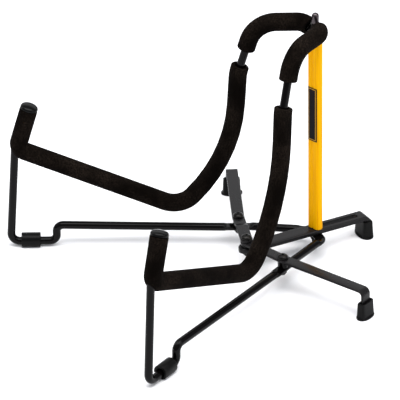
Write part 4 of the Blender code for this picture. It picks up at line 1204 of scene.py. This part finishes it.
def boot_rings(rubber, height, extra, bar_width, bar_thickness):
    """A tapered boot from its flange up, over its rim and down to the floor of its slot."""
    wider, deeper = extra
    flange, base, top = rubber.flange, rubber.boot_base, rubber.boot_top
    slot_w = bar_width - wider + BOOT_SLOT_SPARE[0]
    slot_d = bar_thickness - deeper + BOOT_SLOT_SPARE[1]
    slot, slot_floor = (slot_w, slot_d), (slot_w, slot_d - BOOT_SLOT_TAPER)
    lip, rim, depth_mm = rubber.flange_height / MM, height / MM, BOOT_SLOT_DEPTH / MM
    # The size a ring follows, what is added to it and its height in mm, and how square it is
    rows = ((flange, -1.2, 0.0, 2.2), (flange, -0.3, 0.25, 2.2), (flange, 0.0, 0.7, 2.2),
            (flange, 0.0, lip - 0.7, 2.2), (flange, -0.4, lip - 0.2, 2.2),
            (base, 0.4, lip - 0.1, 4.5), (base, 0.0, lip + 0.3, 5.0), (top, 0.0, rim - 1.0, 6.5),
            (top, -0.3, rim - 0.3, 6.5), (top, -0.9, rim, 6.5), (slot, 0.5, rim, 5.0),
            (slot, 0.0, rim - 0.4, 6.0), (slot_floor, 0.0, rim - depth_mm, 6.0))
    return [level(squarish(depth + deeper + more * MM, width + wider + more * MM, BOOT_SIDES,
                           power), z * MM) for (width, depth), more, z, power in rows]


class STAND_OT_boots(bpy.types.Operator):
    """Push rubber boots on the turned-down ends of the flat bars"""
    bl_idname = "stand.boots"
    bl_label = "Boots"

    def execute(self, context):
        rubber, steel = context.scene.stand_rubber, context.scene.stand_steel
        rings = boot_rings(rubber, rubber.boot_height, (0.0, 0.0), steel.bar_width,
                           steel.bar_thickness)
        for name, side in SIDES.items():
            place = (leg_place(side) @ Matrix.Translation(leg_foot(side, 0))
                     @ Matrix.Rotation(side * LEG_DOGLEG, 4, "Z"))
            add_piece(name + "_boot", rings, "boot_rubber", place=place, smooth=ROD_SHARP)
        rings = boot_rings(rubber, rubber.centre_boot_height, rubber.centre_boot_extra,
                           steel.centre_width, steel.centre_thickness)
        place = (Matrix.Translation((0, TIE_Y + CENTRE_FOOT_BEHIND, 0))
                 @ Matrix.Rotation(math.pi / 2, 4, "Z"))
        add_piece("centre_boot", rings, "boot_rubber", place=place, smooth=ROD_SHARP)
        return {"FINISHED"}


# Post and tie rod

class STAND_OT_post(bpy.types.Operator):
    """Extrude the yellow post and plug its ends"""
    bl_idname = "stand.post"
    bl_label = "Post"

    def execute(self, context):
        post = context.scene.stand_post
        low, high = POST_Z
        outer, worn = post_outline(post), post_outline(post, POST_BURR)
        bore = post_outline(post, post.wall, 0.0)
        place = Matrix.Translation((0, TIE_Y, 0))
        rings = stack([(worn, low), (outer, low + POST_BURR), (outer, high - POST_BURR),
                       (worn, high), (bore, high), (bore, low)])
        add_piece("post", rings, "yellow_lacquer", True, place, smooth=POST_SHARP)

        insert = post_outline(post, post.wall + GAP, 0.0)
        angles = [math.atan2(y, x) for x, y in insert]

        def facing(diameter):
            return [(diameter / 2 * math.cos(a), diameter / 2 * math.sin(a)) for a in angles]

        hole, neck, boss = facing(TIE_HOLE_D), facing(PLUG_NECK_D), facing(PLUG_BOSS_D)
        plug_low, plug_high = CENTRE_BAR_Z + GAP / 2, low + PLUG_L
        boss_top, chamfer = ARM_EYE_Z["left"] - ARM_EYE_T / 2 - GAP, 0.6 * MM
        rings = stack([(neck, plug_low), (neck, low), (insert, low + chamfer),
                       (insert, plug_high), (hole, plug_high), (hole, plug_low)])
        add_piece("post_plug_bottom", rings, "moulded_nylon", True, place)
        rings = stack([(insert, high - PLUG_L), (insert, high + GAP),
                       (boss, high + GAP + chamfer), (boss, boss_top), (hole, boss_top),
                       (hole, high - PLUG_L)])
        add_piece("post_plug_top", rings, "moulded_nylon", True, place)
        return {"FINISHED"}


class STAND_OT_label(bpy.types.Operator):
    """Stick the plain bordered label on the post's front"""
    bl_idname = "stand.label"
    bl_label = "Label"

    def execute(self, context):
        post = context.scene.stand_post
        columns, seat, thick = 36, 0.1 * MM, 0.25 * MM
        low, high = post.label_foot, post.label_foot + post.label_height
        c, s = math.cos(post.turn), math.sin(post.turn)
        rings = []
        for i in range(columns + 1):
            across = post.label_width * (i / columns - 0.5)
            beyond = max(0.0, abs(across) - post.span / 2)
            ring = []
            for lift, z in ((seat + thick, low), (seat + thick, high), (seat, high), (seat, low)):
                ahead = -math.sqrt((post.lobe / 2 + lift) ** 2 - beyond ** 2)
                ring.append((across * c - ahead * s, across * s + ahead * c, z))
            rings.append(ring)
        piece = add_piece("post_label", rings, "printed_label",
                          place=Matrix.Translation((0, TIE_Y, 0)))
        layer = piece.data.uv_layers.new(name="Label")
        for loop in piece.data.loops:
            point = piece.data.vertices[loop.vertex_index].co
            across = point.x * c + (point.y - TIE_Y) * s
            layer.data[loop.index].uv = (across / post.label_width + 0.5,
                                         (point.z - low) / post.label_height)
        return {"FINISHED"}


def nut_rings(low, high, hole_d, x=0.0, y=0.0):
    """A hexagon lock nut with its round collar below and its edges broken."""
    collar, hole = circle(NUT_COLLAR_R), circle(hole_d / 2)
    hexed, broken = hexagon(NUT_AF), hexagon(NUT_BROKEN_AF)
    shoulder = low + (high - low) * NUT_COLLAR_SHARE
    return stack([(circle(NUT_COLLAR_R - NUT_COLLAR_EDGE), low), (collar, low + NUT_COLLAR_EDGE),
                  (collar, shoulder), (broken, shoulder), (hexed, shoulder + NUT_BREAK_H),
                  (hexed, high - NUT_BREAK_H), (broken, high), (hole, high), (hole, low)], x, y)


def washer_rings(outer_d, hole_d, low, high, x=0.0, y=0.0):
    """A washer or spacer tube with its outer edges broken."""
    outer, worn, hole = outer_d / 2, outer_d / 2 - WASHER_EDGE, hole_d / 2
    return turned([(worn, low), (outer, low + WASHER_EDGE), (outer, high - WASHER_EDGE),
                   (worn, high), (hole, high), (hole, low)], x, y)


class STAND_OT_tie_rod(bpy.types.Operator):
    """Pass the tie rod through the post and stack its washers and nuts"""
    bl_idname = "stand.tie_rod"
    bl_label = "Tie rod"

    def execute(self, context):
        place, black = Matrix.Translation((0, TIE_Y, 0)), "black_oxide_steel"
        eyes_top = ARM_EYE_Z["right"] + ARM_EYE_T / 2
        eyes_low = CENTRE_BAR_Z - 2 * (LEG_EYE_T + GAP)
        nut_top = eyes_low - WASHER_T - 2 * GAP
        rod_low = nut_top - NUT_H - BOLT_PAST_NUT
        hex_low = eyes_top + WASHER_T + 2 * GAP
        rod_top = hex_low + CAP_NUT_HEX_H
        radius = TIE_ROD_D / 2
        rod = turned([(radius - BOLT_CHAMFER, rod_low), (radius, rod_low + BOLT_CHAMFER),
                      (radius, rod_top)])
        add_piece("tie_rod", rod, "zinc_plated_steel", place=place)
        for node, low in (("top_washer", eyes_top + GAP),
                          ("bottom_washer", eyes_low - GAP - WASHER_T)):
            washer = washer_rings(WASHER_D, TIE_HOLE_D, low, low + WASHER_T)
            add_piece(node, washer, black, True, place)
        nut = nut_rings(nut_top - NUT_H, nut_top, TIE_HOLE_D)
        add_piece("bottom_nut", nut, black, True, place)

        dome_r = 0.52 * NUT_AF
        bore, hexed = circle(TIE_HOLE_D / 2), hexagon(NUT_AF)
        rings = stack([(bore, rod_top + GAP), (bore, hex_low), (hexagon(NUT_BROKEN_AF), hex_low),
                       (hexed, hex_low + NUT_BREAK_H), (hexed, rod_top - NUT_BREAK_H),
                       (circle(dome_r), rod_top + NUT_BREAK_H)])
        rings += turned(arc_profile(0.0, CAP_NUT_TOP_Z - dome_r, dome_r, 84, 12))
        add_piece("cap_nut", rings, "black_nickel", place=place)
        return {"FINISHED"}


# Pivots

def bolt_rings(low, head_low, x, y):
    """A button-headed bolt: shank, domed head and hexagon socket, as one skin."""
    steel = bpy.context.scene.stand_steel
    head_r, shank, foot_edge = steel.head / 2, BOLT_D / 2, 0.3 * MM
    rim_z, top = head_low + BOLT_RIM, head_low + steel.head_height
    pairs = [(shank - BOLT_CHAMFER, low), (shank, low + BOLT_CHAMFER), (shank, head_low),
             (head_r - foot_edge, head_low), (head_r, head_low + foot_edge), (head_r, rim_z)]
    dome_steps, dome_end = 10, math.radians(66)
    for i in range(1, dome_steps + 1):
        angle = dome_end * i / dome_steps
        pairs.append((head_r * math.cos(angle),
                      rim_z + (top - rim_z) * math.sin(angle) / math.sin(dome_end)))
    socket = hexagon(SOCKET_AF)
    mouth = [(hexagon(SOCKET_AF + 0.4 * MM), top), (socket, top - 0.2 * MM),
             (socket, top - SOCKET_DEPTH)]
    return turned(pairs, x, y) + stack(mouth, x, y)


class STAND_OT_pivots(bpy.types.Operator):
    """Bolt the rear legs to the frames, and all three bars at the centre pivot"""
    bl_idname = "stand.pivots"
    bl_label = "Pivots"

    def execute(self, context):
        steel = context.scene.stand_steel
        black, coat, hole_d = "black_oxide_steel", "rod_powder_coat", BOLT_HOLE_D
        pad_top, nut_top = PIVOT_Z + PAD_T / 2 + GAP, PIVOT_Z - PAD_T / 2 - GAP
        nut_low = nut_top - NUT_H
        for name, side in SIDES.items():
            place = frame_place(side)
            x, y, _ = frame_point(side, PIVOT_AHEAD, PIVOT_Z)
            spacer = washer_rings(steel.spacer, hole_d, pad_top, BAR_Z - GAP, x, y)
            add_piece(name + "_pivot_spacer", spacer, coat, True, place)
            add_piece(name + "_pivot_nut", nut_rings(nut_low, nut_top, hole_d, x, y), black, True,
                      place)
            bolt = bolt_rings(nut_low - BOLT_PAST_NUT, BAR_Z + steel.bar_thickness + GAP, x, y)
            add_piece(name + "_pivot_bolt", bolt, black, place=place)

        y, nut_top = CENTRE_PIVOT.y, CENTRE_BAR_Z - GAP
        nut_low = nut_top - NUT_H
        bar_top, layer = CENTRE_BAR_Z + steel.centre_thickness + GAP, steel.bar_thickness + GAP
        spacer = washer_rings(steel.head, hole_d, bar_top, BAR_Z - GAP, 0, y)
        add_piece("centre_spacer", spacer, coat, True)
        add_piece("centre_nut", nut_rings(nut_low, nut_top, hole_d, 0, y), black, True)
        radius, tail = BOLT_D / 2, nut_low - BOLT_PAST_NUT
        lower = turned([(radius - BOLT_CHAMFER, tail), (radius, tail + BOLT_CHAMFER),
                        (radius, BAR_Z - GAP)], 0, y)
        add_piece("centre_bolt_lower", lower, black)
        middle = turned([(radius, BAR_Z + GAP / 2), (radius, BAR_Z + layer - 1.5 * GAP)],
                        -LEG_INNER)
        add_piece("centre_bolt_middle", middle, black, place=leg_place(1))
        head = bolt_rings(BAR_Z + layer + GAP / 2, BAR_Z + 2 * layer, LEG_INNER, 0)
        add_piece("centre_bolt_head", head, black, place=leg_place(-1))
        return {"FINISHED"}


# Studio

def direction(azimuth, elevation):
    """Towards a place so far round from the front, and so far above the floor."""
    return Vector((math.sin(azimuth) * math.cos(elevation),
                   -math.cos(azimuth) * math.cos(elevation), math.sin(elevation)))


def add_light(name, power, width, height, place):
    """A rectangular soft light that faces the stand."""
    light = bpy.data.lights.new(name, "AREA")
    light.shape = "RECTANGLE"
    light.size, light.size_y = width, height
    light.energy = power
    lamp = link(name, light)
    lamp.location = place
    lamp.rotation_euler = (LIT_POINT - place).to_track_quat("-Z", "Y").to_euler()


def add_camera(studio):
    """The camera at the photograph's viewing angle, placed from the post's foot."""
    back = direction(studio.azimuth, studio.elevation)
    right = Vector((math.cos(studio.azimuth), math.sin(studio.azimuth), 0))
    up = back.cross(right)
    c, s = math.cos(studio.roll), math.sin(studio.roll)
    across, above = right * c + up * s, up * c - right * s
    lens = bpy.data.cameras.new("photo_camera")
    lens.lens = studio.lens
    lens.sensor_width = SENSOR_WIDTH
    lens.clip_end = FARTHEST_SEEN
    camera = link("photo_camera", lens)
    eye = across * studio.across + above * studio.above + back * studio.distance
    camera.matrix_world = (Matrix.Translation(Vector((0, TIE_Y, 0)) + eye)
                           @ Matrix((across, above, back)).transposed().to_4x4())
    bpy.context.scene.camera = camera


class STAND_OT_studio(bpy.types.Operator):
    """Lay the floor and set the lights and the camera"""
    bl_idname = "stand.studio"
    bl_label = "Studio"

    def execute(self, context):
        scene, studio = context.scene, context.scene.stand_studio
        mesh = bpy.data.meshes.new("studio_floor")
        mesh.from_pydata([(x * FLOOR_REACH, y * FLOOR_REACH, 0)
                          for x, y in ((-1, -1), (1, -1), (1, 1), (-1, 1))], [], [(0, 1, 2, 3)])
        mesh.materials.append(studio_floor(scene.stand_colours))
        floor = link("studio_floor", mesh)
        floor.location.z = FLOOR_Z

        for name, (setting, share, width, height, turn, rise, away) in LIGHTS.items():
            round_by = studio.azimuth + math.radians(turn)
            place = LIT_POINT + direction(round_by, math.radians(rise)) * away
            add_light(name, share * getattr(studio, setting), width, height, place)

        world = bpy.data.worlds.new("studio_air")
        world.use_nodes = True
        feed(world.node_tree, world.node_tree.nodes["Background"],
             {"Color": AIR_TINT, "Strength": studio.sky})
        scene.world = world
        scene.view_settings.view_transform = "Standard"
        add_camera(studio)
        return {"FINISHED"}


class STAND_PT_panel(bpy.types.Panel):
    """Lists the stand's pieces and settings"""
    bl_label = "Guitar stand"
    bl_space_type = "VIEW_3D"
    bl_region_type = "UI"
    bl_category = "Guitar stand"

    def draw(self, context):
        for operator in OPERATORS:
            self.layout.operator(operator.bl_idname)
        for attribute, group in GROUPS.items():
            box = self.layout.box()
            box.label(text=group.__doc__)
            for setting in group.__annotations__:
                box.prop(getattr(context.scene, attribute), setting)


GROUPS = {"stand_steel": StandSteel, "stand_foam": StandFoam, "stand_post": StandPost,
          "stand_rubber": StandRubber, "stand_colours": StandColours, "stand_studio": StandStudio}
OPERATORS = (STAND_OT_post, STAND_OT_label, STAND_OT_tie_rod, STAND_OT_arm_rods, STAND_OT_leg_rods,
             STAND_OT_foam, STAND_OT_lip_caps, STAND_OT_foot_clips, STAND_OT_rear_legs,
             STAND_OT_centre_bar, STAND_OT_boots, STAND_OT_pivots, STAND_OT_studio)


def register():
    for kind in (*GROUPS.values(), *OPERATORS, STAND_PT_panel):
        bpy.utils.register_class(kind)
    for attribute, group in GROUPS.items():
        setattr(bpy.types.Scene, attribute, PointerProperty(type=group))


def unregister():
    for attribute in GROUPS:
        delattr(bpy.types.Scene, attribute)
    for kind in reversed((*GROUPS.values(), *OPERATORS, STAND_PT_panel)):
        bpy.utils.unregister_class(kind)


def main():
    register()
    for operator in OPERATORS:
        family, name = operator.bl_idname.split(".")
        getattr(getattr(bpy.ops, family), name)()


if __name__ == "__main__":
    main()
